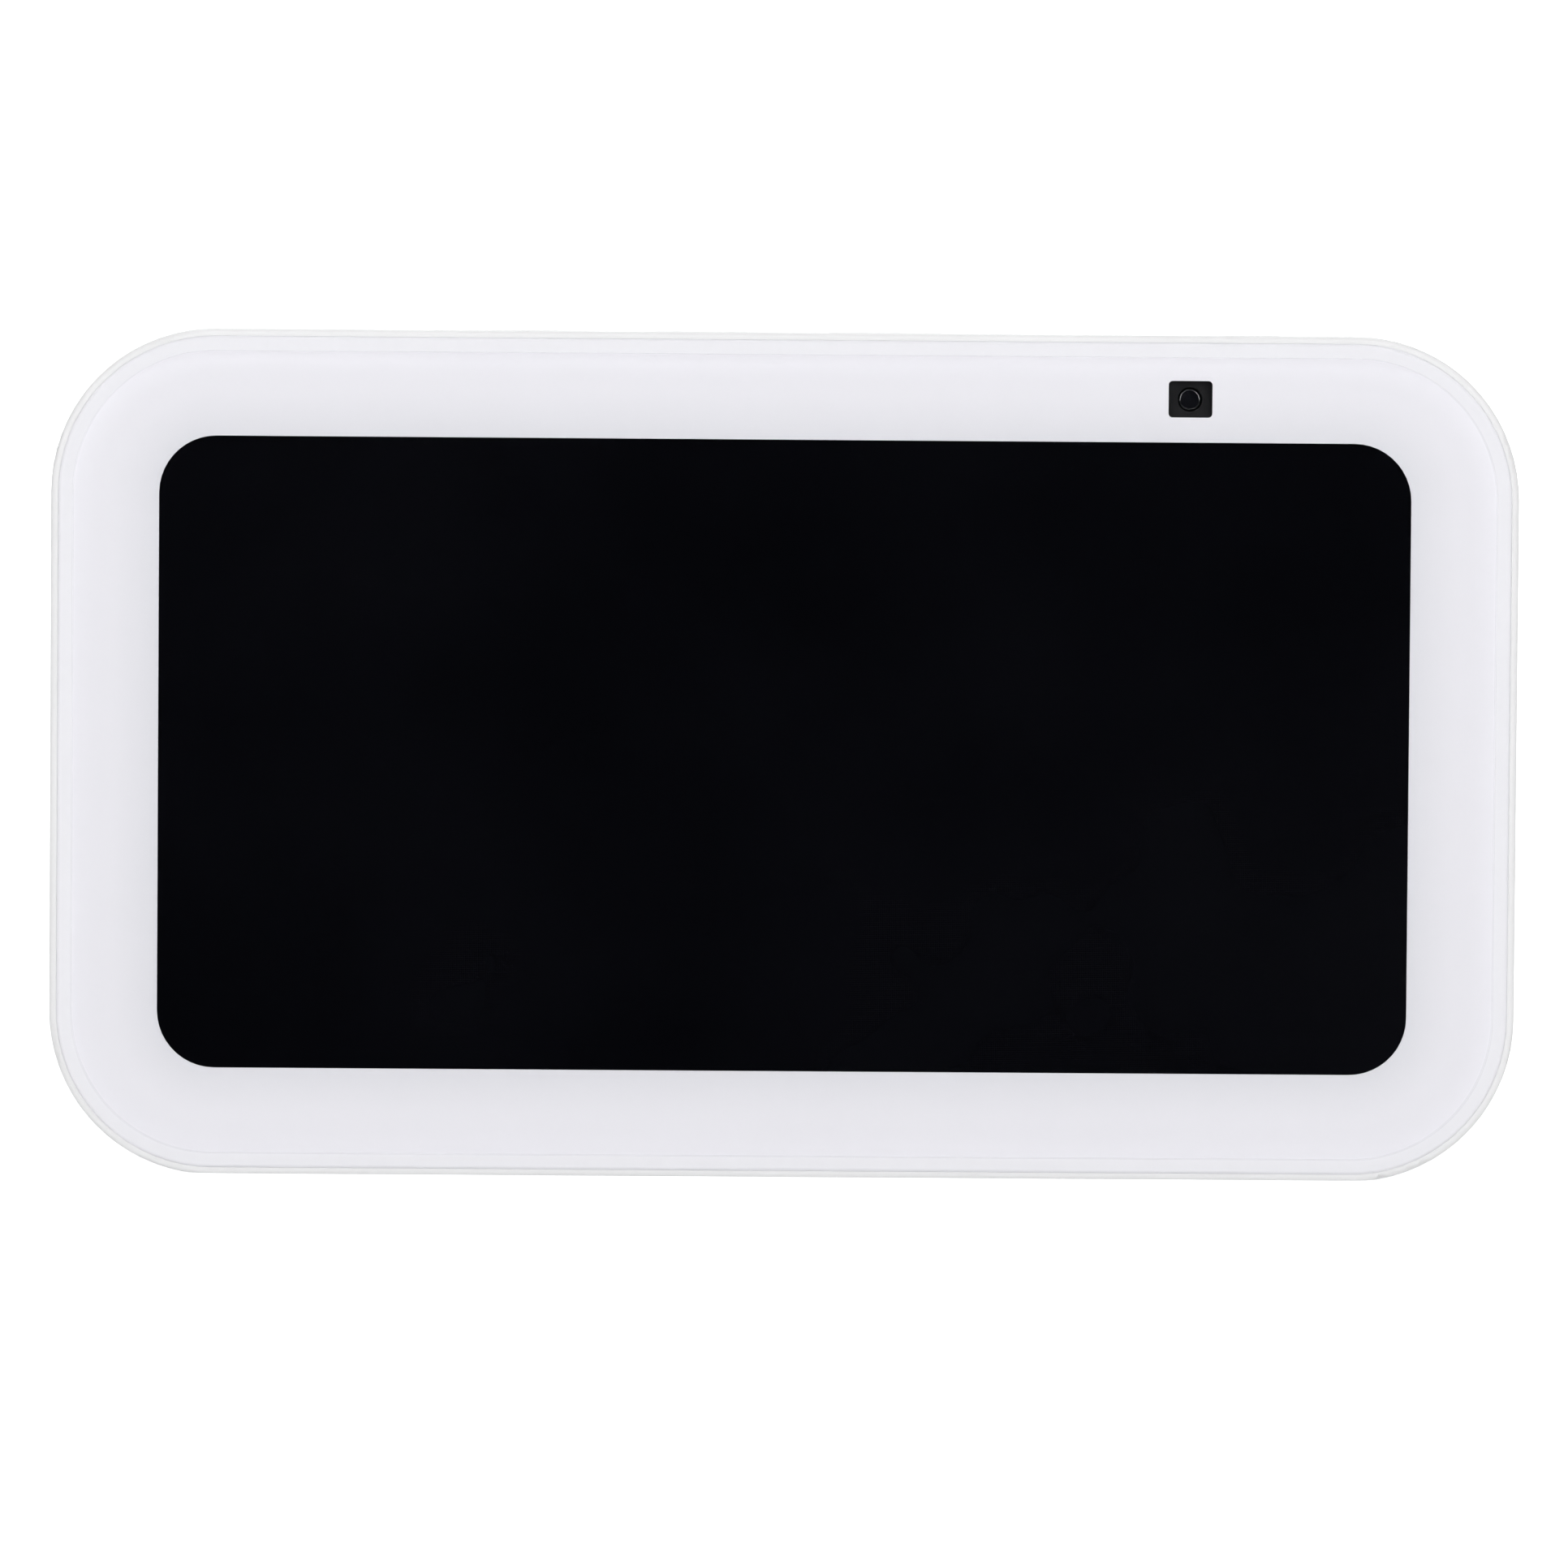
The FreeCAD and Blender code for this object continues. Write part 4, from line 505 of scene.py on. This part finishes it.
# the three far-edge colours are painted light, brighter than the ink and brightest at the top and the right; the
# near colour is painted shade beside the screen
FILM_EDGE_LIT = lin(243, 242, 246)
FILM_EDGE_RIGHT_LIT = lin(245, 244, 248)
FILM_EDGE_TOP_LIT = lin(248, 247, 251)
FILM_MID = lin(240, 239, 243)
FILM_NEAR_SHADED = lin(228, 228, 232)
DISPLAY = (0.0011, 0.0012, 0.0021)
KNIT = lin(214, 215, 218)
KNIT_FLECK = lin(186, 188, 192)
WHITE = lin(235, 235, 236)

M = {
    "glass": glass_mat(),
    "white_print": film_mat(),
    "display": display_mat(),
    "foam": foam_mat("black_foam", (0.02, 0.02, 0.022)),
    "plated_steel": metal("plated_steel", (0.62, 0.63, 0.64), 0.32, (1.0, 0.15, 1.0)),
    "screw_steel": metal("screw_steel", (0.50, 0.50, 0.52), 0.3),
    "white_moulding": moulded("white_moulding", WHITE, 0.42, outline=(FACE_W / 2, FACE_H / 2, 16.4, 0.6, 0.25)),
    "black_moulding": moulded("black_moulding", (0.0025, 0.0027, 0.0036), 0.5, vary=0.15, spec=0.2),
    "lens_glass": lens_mat(),
    "white_button": moulded("white_button", lin(236, 236, 237), 0.34, grain=12000.0),
    "switch_plunger": moulded("switch_plunger", (0.03, 0.03, 0.032), 0.4, vary=0.1),
    "board": board_mat("solder_mask"),
    "silicone": rubber_mat("silicone", (0.05, 0.05, 0.055), 0.55),
    "brass_posts": metal("brass_posts", (0.78, 0.58, 0.28), 0.28),
    "aluminium_sheet": metal("aluminium_sheet", (0.76, 0.77, 0.79), 0.34, (1.0, 0.1, 0.1)),
    "thermal_silicone": rubber_mat("thermal_silicone", (0.30, 0.38, 0.50), 0.7),
    "ivory_moulding": moulded("ivory_moulding", (0.70, 0.66, 0.54), 0.4),
    "flat_cable": cable_mat("flat_cable"),
    "knit_fabric": knit_mat(),
    "base_moulding": moulded("base_moulding", lin(226, 226, 228), 0.48, grain=5000.0),
    "rubber": rubber_mat("foot_rubber", lin(196, 196, 199), 0.72),
    "ballast_steel": metal("ballast_steel", (0.22, 0.23, 0.25), 0.55, grain=900.0),
    "black_steel": moulded("black_enamel", (0.014, 0.014, 0.015), 0.35, vary=0.1),
    "surround_rubber": rubber_mat("surround_rubber", (0.02, 0.02, 0.02), 0.5),
    "cone_paper": cone_mat("cone_paper", (0.03, 0.03, 0.033)),
    "coil_copper": metal("coil_copper", (0.78, 0.36, 0.18), 0.35, (1, 1, 6)),
    "spider_cloth": cloth_mat("spider_cloth", (0.45, 0.30, 0.10)),
    "magnet_ferrite": moulded("magnet_ferrite", (0.05, 0.05, 0.055), 0.55, grain=3000.0, vary=0.15),
    "lead_insulation": rubber_mat("lead_insulation", (0.35, 0.02, 0.02), 0.45),
}
for sp in frame["record"]["subparts"]:
    node = NODES[sp["node"]]
    mat = M[sp["material_slot"]]
    if not node.material_slots:
        node.data.materials.append(mat)
    for s in node.material_slots:
        s.material = mat


# ------------------------------------------------------------------ the cover glass
def outline(inset, corner, side, top):
    """The glass's rounded outline moved in by inset, as points across and up the face."""
    hw, hh, r = 72.74 - inset, 41.64 - inset, 15.64 - inset
    pts = []
    for cx, cy, f0 in ((1, 1, 0), (-1, 1, 90), (-1, -1, 180), (1, -1, 270)):
        for i in range(corner + 1):
            f = math.radians(f0 + 90.0 * i / corner)
            pts.append((cx * (hw - r) + r * math.cos(f), cy * (hh - r) + r * math.sin(f)))
        n = top if f0 in (0, 180) else side
        a = pts[-1]
        b = (cx * -1 * (hw - r), a[1]) if f0 in (0, 180) else (a[0], cy * -1 * (hh - r))
        for i in range(1, n):
            t = i / n
            pts.append((a[0] * (1 - t) + b[0] * t, a[1] * (1 - t) + b[1] * t))
    return pts


def build_glass():
    corner, side, top = ((40, 16, 32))
    steps = [(1.0, 0.0), (0.44, 0.0)]
    n = 10
    for i in range(n + 1):
        f = math.radians(90.0 * i / n)
        steps.append((0.4 * (1 - math.sin(f)), 0.4 * (1 - math.cos(f))))
    steps += [(0.0, 1.72), (0.04, 1.8)]
    vs, fs = [], []
    for inset, deep in steps:
        vs.extend(face(x, deep, WIN_C + y) for x, y in outline(inset, corner, side, top))
    m = len(vs) // len(steps)
    for k in range(len(steps) - 1):
        for i in range(m):
            j = (i + 1) % m
            fs.append((k * m + i, (k + 1) * m + i, (k + 1) * m + j, k * m + j))
    fs.append(tuple(range(m)))
    fs.append(tuple(range(len(vs) - 1, len(vs) - 1 - m, -1)))
    me = bpy.data.meshes.new("cover_glass_sheet")
    me.from_pydata(vs, [], fs)
    for pl in me.polygons:
        pl.use_smooth = len(pl.vertices) == 4
    bm = bmesh.new()
    bm.from_mesh(me)
    bmesh.ops.recalc_face_normals(bm, faces=bm.faces)
    bm.to_mesh(me)
    bm.free()
    ob = bpy.data.objects.new("cover_glass_sheet", me)
    bpy.context.scene.collection.objects.link(ob)
    me.materials.append(M["glass"])
    return ob


glass = build_glass()
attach(glass, "housing")
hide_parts("cover_glass")

# ------------------------------------------------------------------ the knitted cover
FABRIC_INSET, FABRIC_THK, REAR_DEEP, REAR_MID, FRAME_BACK, REAR_CORNER = 0.4, 1.0, 83.6, 34.0, 15.0, 17.8
TAN = math.tan(TILT)


def section(p, inset):
    dd = FRAME_BACK + (REAR_DEEP - FRAME_BACK) * p
    a = (FACE_W / 2 - FABRIC_INSET - inset) * (1 - p ** 2.2) ** (1 / 2.2)
    top = REAR_MID + (FACE_H - FABRIC_INSET - REAR_MID - inset) * (1 - p ** 1.4) ** (1 / 1.8)
    qq = min(max((dd - 66.0) / 17.6, 0.0), 1.0)
    base = dd * TAN - (15 * TAN - 0.4) * (1 - p * p) + 6.83 * (1 - math.sqrt(max(0.0, 1 - qq ** 2.5)))
    g = (REAR_MID - base) / (REAR_MID - 0.4)
    low = REAR_MID - (REAR_MID - 0.4 - inset) * g
    return dd - inset * p, a, top, low


def ring_points(p, inset, n_side):
    """8*n_side/2 points round the section, four equal runs between the corners' middles."""
    dd, a, top, low = section(p, inset)
    b2, mid = (top - low) / 2, (top + low) / 2
    a0, b0 = FACE_W / 2 - FABRIC_INSET, (FACE_H - 2 * FABRIC_INSET) / 2
    k = p ** 1.3
    rx = a * ((REAR_CORNER / a0) * (1 - k) + 0.86 * k)
    ry = b2 * ((REAR_CORNER / b0) * (1 - k) + 0.93 * k)
    n = 2.25
    f = np.linspace(0, math.pi / 2, 61)
    cx = a - rx + rx * np.cos(f) ** (2 / n)
    cz = b2 - ry + ry * np.abs(np.sin(f)) ** (2 / n)
    cx[-1] = a - rx
    # right side from its middle up to the corner's middle, then to the top's middle
    h = 30
    side = np.array([[a, 0.0]] + [[cx[i], cz[i]] for i in range(0, h + 1)])
    roof = np.array([[cx[i], cz[i]] for i in range(h, 61)] + [[0.0, b2]])

    def resample(poly, m):
        seg = np.hypot(*np.diff(poly, axis=0).T)
        run = np.concatenate([[0], np.cumsum(seg)])
        want = np.linspace(0, run[-1], m + 1)
        return np.stack([np.interp(want, run, poly[:, i]) for i in (0, 1)], axis=1)

    s_up = resample(side, n_side)      # middle of right side -> corner
    r_in = resample(roof, n_side)      # corner -> middle of top
    quarter = np.concatenate([s_up, r_in[1:]])
    q1 = quarter
    q2 = quarter[::-1][1:] * [-1, 1]
    q3 = quarter[1:] * [-1, -1]
    q4 = quarter[::-1][1:-1] * [1, -1]
    loop = np.concatenate([q1, q2, q3, q4])
    out = np.empty((len(loop), 3))
    out[:, 0] = loop[:, 0]
    out[:, 1] = dd
    out[:, 2] = mid + loop[:, 1]
    return out


def to_row(pts):
    """Face-frame millimetres to row-frame millimetres, before the flat underside is made."""
    x, dd, s = pts[:, 0], pts[:, 1], pts[:, 2]
    y = s * math.sin(TILT) + dd * math.cos(TILT) - ORIGIN_BACK
    z = GROUND + s * math.cos(TILT) - dd * math.sin(TILT)
    return np.stack([x, y, z], axis=1)


BASE_Y0, BASE_Y1, BASE_WF, BASE_WR, BASE_R = 17.4 - ORIGIN_BACK, 68.0 - ORIGIN_BACK, 50.0, 30.0, 7.0


def base_sdf(x, y, grow):
    """Signed distance in millimetres from the base plate's rounded trapezoid, and its direction."""
    r = BASE_R
    # the trapezoid's straight sides moved in by r, then a circle of r swept round it
    y0, y1 = BASE_Y0 + r, BASE_Y1 - r
    slope = (BASE_WF - BASE_WR) / (BASE_Y1 - BASE_Y0)
    norm = math.hypot(1.0, slope)
    half = lambda yy: BASE_WF - slope * (yy - BASE_Y0) - r * norm
    px, py = np.abs(x), y
    # closest point on the inner trapezoid's outline, by segments
    verts = [(0.0, y0), (half(y0), y0), (half(y1), y1), (0.0, y1)]
    best = np.full(px.shape, 1e9)
    bx, by = np.zeros_like(px), np.zeros_like(px)
    for (x1, ya), (x2, yb) in zip(verts[:-1], verts[1:]):
        dx, dy = x2 - x1, yb - ya
        t = np.clip(((px - x1) * dx + (py - ya) * dy) / (dx * dx + dy * dy), 0, 1)
        qx, qy = x1 + t * dx, ya + t * dy
        dd = np.hypot(px - qx, py - qy)
        m = dd < best
        best = np.where(m, dd, best)
        bx, by = np.where(m, qx, bx), np.where(m, qy, by)
    inside = (py > y0) & (py < y1) & (px < half(py))
    sd = np.where(inside, -best, best) - r - grow
    gx = np.where(inside, bx - px, px - bx)
    gy = np.where(inside, by - py, py - by)
    ln = np.maximum(np.hypot(gx, gy), 1e-9)
    gx, gy = gx / ln, gy / ln
    return sd, gx * np.sign(np.where(x == 0, 1, x)), gy


def smooth_max(a, b, r):
    """Round the meeting of two surfaces by about r."""
    h = np.clip(0.5 + 0.5 * (a - b) / r, 0, 1)
    return b + (a - b) * h + r * h * (1 - h)


def fabric_mesh():
    K = 150
    # rings evenly spaced along the middle of the roof and floor
    ps = np.linspace(0, 1, 1500)
    ps[-1] = 1 - 1e-9
    sec = np.array([section(p, 0.0) for p in ps])
    path = np.zeros(len(ps))
    for arr in (sec[:, 1], sec[:, 2]):
        step = np.hypot(np.diff(sec[:, 0]), np.diff(arr))
        path[1:] += np.cumsum(step)
    path /= path[-1]
    want = np.linspace(0, 1, K + 1)
    p_at = np.interp(want, path, ps)          # 0 at the rim, 1 at the rear
    rings = []
    for k in range(K + 1):                     # k = 0 is the rear end, K the rim
        p = float(p_at[K - k])
        if k == 0:
            dd, a, top, low = section(1 - 1e-9, 0.0)
            pts = np.array([[0.0, dd, (top + low) / 2]])
        else:
            pts = ring_points(min(p, 1 - 1e-7), 0.0, k)
        rings.append(pts)
    start, flat = [], []
    for pts in rings:
        start.append(len(flat))
        flat.extend(pts.tolist())
    return to_row(np.array(flat)), rings, start, K


def square_ring_faces(K, start):
    """Quads of a grid of concentric square rings; ring k has 8k points, corners at odd eighths."""
    faces = []

    def idx(k, side, t):
        if k == 0:
            return start[0]
        return start[k] + (k + 2 * k * side + t) % (8 * k)

    for k in range(K):
        for side in range(4):
            for t in range(2 * k + 2):
                o0, o1 = idx(k + 1, side, t), idx(k + 1, side, t + 1)
                if t == 0:
                    # the first outer segment shares its quad with the previous side's last
                    prev = idx(k + 1, (side - 1) % 4, 2 * k + 1)
                    faces.append((idx(k, side, 0), prev, o0, o1))
                elif t == 2 * k + 1:
                    continue
                else:
                    faces.append((idx(k, side, t - 1), o0, o1, idx(k, side, t)))
    return faces


def build_fabric():
    P, rings, start, K = fabric_mesh()
    faces = square_ring_faces(K, start)
    n_pts = len(P)
    # cloth map: distance from the rear end along the ring direction, unrolled round it
    U = np.zeros((n_pts, 2))
    prev = P[start[0]]
    R = np.zeros(n_pts)
    for k in range(1, K + 1):
        n1 = 8 * k
        cur = P[start[k] : start[k] + n1]
        ang = np.arange(n1) / n1
        if k == 1:
            back = np.repeat(P[start[0] : start[0] + 1], n1, axis=0)
            backR = np.zeros(n1)
        else:
            n0 = 8 * (k - 1)
            src = P[start[k - 1] : start[k - 1] + n0]
            sr = R[start[k - 1] : start[k - 1] + n0]
            fpos = ang * n0
            i0 = np.floor(fpos).astype(int) % n0
            i1 = (i0 + 1) % n0
            w = (fpos - np.floor(fpos))[:, None]
            back = src[i0] * (1 - w) + src[i1] * w
            backR = sr[i0] * (1 - w[:, 0]) + sr[i1] * w[:, 0]
        R[start[k] : start[k] + n1] = backR + np.linalg.norm(cur - back, axis=1)
        half = (rings[k][:, 2].max() + rings[k][:, 2].min()) / 2
        a = np.arctan2(rings[k][:, 2] - half, rings[k][:, 0])
        rr = R[start[k] : start[k] + n1]
        U[start[k] : start[k] + n1, 0] = rr * np.cos(a)
        U[start[k] : start[k] + n1, 1] = rr * np.sin(a)
    # flat underside with a rounded turn
    z = P[:, 2].copy()
    P[:, 2] = smooth_max(z, np.full_like(z, GROUND), 1.6)
    # the flattened part still starts at the front frame's back edge
    start_y = (FRAME_BACK + (P[:, 2] - GROUND) * math.sin(TILT)) / math.cos(TILT) - ORIGIN_BACK
    P[:, 1] = np.maximum(P[:, 1], start_y)
    under = P[:, 2] < GROUND + 0.9
    sd, gx, gy = base_sdf(P[:, 0], P[:, 1], 0.3)
    inside = under & (sd < 0)
    port = np.hypot(P[:, 0], P[:, 2] - 16.0)
    rear = P[:, 1] > 30.0
    in_port = rear & (port < 7.4)
    drop = inside | in_port
    keep = [f for f in faces if not all(drop[list(f)])]
    # faces that straddle an edge keep their inner points, moved out to the edge
    used_drop = sorted({v for f in keep for v in f if drop[v]})
    for v in used_drop:
        if in_port[v]:
            c = np.array([P[v, 0], P[v, 2] - 16.0])
            ln = max(np.hypot(*c), 1e-6)
            P[v, 0], P[v, 2] = 7.4 * c[0] / ln, 16.0 + 7.4 * c[1] / ln
        else:
            P[v, 0] -= gx[v] * sd[v]
            P[v, 1] -= gy[v] * sd[v]
    bm = bmesh.new()
    ids = sorted({v for f in keep for v in f})
    new = {v: bm.verts.new(P[v] / 1000.0) for v in ids}
    bm.verts.index_update()
    lay = bm.loops.layers.uv.new("knit")
    for f in keep:
        vs = []
        for v in f:
            if not vs or new[v] is not vs[-1]:
                vs.append(new[v])
        if len(set(vs)) < 3:
            continue
        try:
            fc = bm.faces.new(vs)
        except ValueError:
            continue
        for lp, v in zip(fc.loops, f):
            lp[lay].uv = (U[v, 0], U[v, 1])
    bmesh.ops.remove_doubles(bm, verts=bm.verts, dist=2e-5)
    bm.normal_update()
    # turned hems: the cloth's edge rolls in round the rim, the base opening and the inlet
    def hem(test, inward, steps):
        cur = [e for e in bm.edges if e.is_boundary and all(test(v.co) for v in e.verts)]
        for along in steps:
            r = bmesh.ops.extrude_edge_only(bm, edges=cur)
            nv = [g for g in r["geom"] if isinstance(g, bmesh.types.BMVert)]
            cur = [g for g in r["geom"] if isinstance(g, bmesh.types.BMEdge)]
            for v in nv:
                v.co += inward(v.co, along / 1000.0)

    centre = face(0, FRAME_BACK, FACE_H / 2)

    def rim_in(co, along):
        q = co - centre
        x, s = q.x, q.dot(FACE_UP)
        # direction in the rim's plane towards its middle line
        hx = max(abs(x) - (FACE_W / 2 - REAR_CORNER - 0.4) / 1000.0, 0.0) * (1 if x > 0 else -1)
        hs = max(abs(s) - (FACE_H / 2 - REAR_CORNER - 0.4) / 1000.0, 0.0) * (1 if s > 0 else -1)
        v = Vector((-hx, 0, 0)) - FACE_UP * hs
        if v.length < 1e-9:
            v = -FACE_UP * (1 if s > 0 else -1)
        v.normalize()
        if co.z < (GROUND + 0.6) / 1000.0:
            v = FACE_UP.copy()
        return v * along

    rim_plane = centre.dot(FACE_NORMAL)
    at_rim = lambda co: abs(co.dot(FACE_NORMAL) - rim_plane) < 2.5e-4
    hem(at_rim, rim_in, (0.5, 0.5))
    at_base = lambda co: co.z < (GROUND + 1.0) / 1000.0 and not at_rim(co)
    hem(at_base, lambda co, a: Vector((0, 0, a)), (0.3, 0.4))
    at_port = lambda co: math.hypot(co.x, co.z - 0.016) < 0.0078 and co.y > 0.03
    hem(at_port, lambda co, a: Vector((0, -a, 0)), (0.3, 0.6))
    bmesh.ops.recalc_face_normals(bm, faces=bm.faces)
    me = bpy.data.meshes.new("knitted_cover")
    bm.to_mesh(me)
    bm.free()
    for pl in me.polygons:
        pl.use_smooth = True
    ob = bpy.data.objects.new("knitted_cover", me)
    bpy.context.scene.collection.objects.link(ob)
    me.materials.append(M["knit_fabric"])
    return ob


cover = build_fabric()
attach(cover, "housing")
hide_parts("fabric_cover")

# ------------------------------------------------------------------ stage, light and camera
def plane(name, size, z):
    me = bpy.data.meshes.new(name)
    n = 24
    vs = [((i / n - 0.5) * size, (j / n - 0.5) * size, z) for j in range(n + 1) for i in range(n + 1)]
    fs = [(j * (n + 1) + i, j * (n + 1) + i + 1, (j + 1) * (n + 1) + i + 1, (j + 1) * (n + 1) + i) for j in range(n) for i in range(n)]
    me.from_pydata(vs, [], fs)
    ob = bpy.data.objects.new(name, me)
    bpy.context.scene.collection.objects.link(ob)
    return ob


floor = plane("studio_floor", 30.0, -0.00003)
fm = Mat("studio_floor_white")
fn = fm.noise(3.0, 2.0)
fm.set(Base_Color=fm.mixc(fn, (0.78, 0.78, 0.785), (0.80, 0.80, 0.80)), Roughness=0.9, Specular_IOR_Level=0.0)
fl = fm.n("LightPath")
fm.set(Emission_Color=(1.0, 1.0, 1.0), Emission_Strength=fm.math("MULTIPLY_ADD", fl.outputs["Is Camera Ray"], 0.70, 0.14))
# seen from below the floor is clear, so that the underside shows
below = fm.n("NewGeometry")
open_floor = fm.n("BsdfTransparent")
floor_mix = fm.n("MixShader")
fm.link(below.outputs["Backfacing"], floor_mix.inputs[0])
fm.link(fm.b.outputs[0], floor_mix.inputs[1])
fm.link(open_floor.outputs[0], floor_mix.inputs[2])
fm.link(floor_mix.outputs[0], fm.out.inputs[0])
floor.data.materials.append(fm.m)

world = bpy.data.worlds.new("studio")
bpy.context.scene.world = world
world.use_nodes = True
wt = world.node_tree
wt.nodes.clear()
wo = wt.nodes.new("ShaderNodeOutputWorld")
seen = wt.nodes.new("ShaderNodeBackground")
seen.inputs[0].default_value = (1, 1, 1, 1)
seen.inputs[1].default_value = 1.05
room = wt.nodes.new("ShaderNodeBackground")
tc = wt.nodes.new("ShaderNodeTexCoord")
dot = wt.nodes.new("ShaderNodeVectorMath")
dot.operation = "DOT_PRODUCT"
wt.links.new(tc.outputs["Generated"], dot.inputs[0])
fd = Vector((0, -math.cos(math.radians(19.5)), math.sin(math.radians(19.5))))
dot.inputs[1].default_value = fd
mr = wt.nodes.new("ShaderNodeMapRange")
mr.interpolation_type = "SMOOTHSTEP"
wt.links.new(dot.outputs["Value"], mr.inputs[0])
mr.inputs[1].default_value, mr.inputs[2].default_value = -0.25, 0.9
mr.inputs[3].default_value, mr.inputs[4].default_value = 0.55, 0.002
wt.links.new(mr.outputs[0], room.inputs[1])
room.inputs[0].default_value = (1.0, 1.0, 1.0, 1)
lp = wt.nodes.new("ShaderNodeLightPath")
mx = wt.nodes.new("ShaderNodeMixShader")
wt.links.new(lp.outputs["Is Camera Ray"], mx.inputs[0])
wt.links.new(room.outputs[0], mx.inputs[1])
wt.links.new(seen.outputs[0], mx.inputs[2])
wt.links.new(mx.outputs[0], wo.inputs[0])


def area_light(name, loc, target, size, watts, color=(1, 1, 1)):
    li = bpy.data.lights.new(name, "AREA")
    li.shape = "RECTANGLE"
    li.size, li.size_y = size
    li.energy = watts
    li.color = color
    ob = bpy.data.objects.new(name, li)
    bpy.context.scene.collection.objects.link(ob)
    ob.location = loc
    ob.rotation_mode = "QUATERNION"
    ob.rotation_quaternion = (Vector(target) - Vector(loc)).to_track_quat("-Z", "Y")
    return ob


mid = face(0, 0, FACE_H / 2)
area_light("soft_left", (-1.28, -1.94, 1.32), mid, (1.0, 1.35), 18.7)
area_light("soft_right", (1.28, -1.94, 1.32), mid, (1.0, 1.35), 20.0)
area_light("soft_top", (0.0, -1.09, 2.22), mid, (2.1, 1.1), 22.0)
area_light("soft_back", (0.0, 1.2, 0.8), (0, 0.03, 0.03), (1.2, 0.8), 6.0)

cam_data = bpy.data.cameras.new("camera")
cam = bpy.data.objects.new("camera", cam_data)
bpy.context.scene.collection.objects.link(cam)
DIST = 0.65
PITCH, YAW, ROLL = math.radians(1.7), math.radians(0.4), math.radians(0.55)
up_dir = FACE_NORMAL * math.cos(PITCH) + FACE_UP * math.sin(PITCH)
look = (up_dir * math.cos(YAW) + Vector((-1, 0, 0)) * math.sin(YAW)).normalized()
cam.location = mid + look * DIST
rot = (-look).to_track_quat("-Z", "Y").to_matrix()
cam.rotation_mode = "QUATERNION"
cam.rotation_quaternion = (rot @ Matrix.Rotation(ROLL, 3, "Z")).to_quaternion()
cam_data.sensor_width = 36.0
cam_data.lens = 36.0 * DIST * 1000.0 / (147.0 * 1932.0 / 1809.2)
cam_data.shift_x = 0.15 / 1932.0
cam_data.shift_y = -34.1 / 1932.0
cam_data.clip_start, cam_data.clip_end = 0.01, 100.0
bpy.context.scene.camera = cam
bpy.context.scene.view_settings.view_transform = "Standard"
bpy.context.scene.view_settings.look = "None"
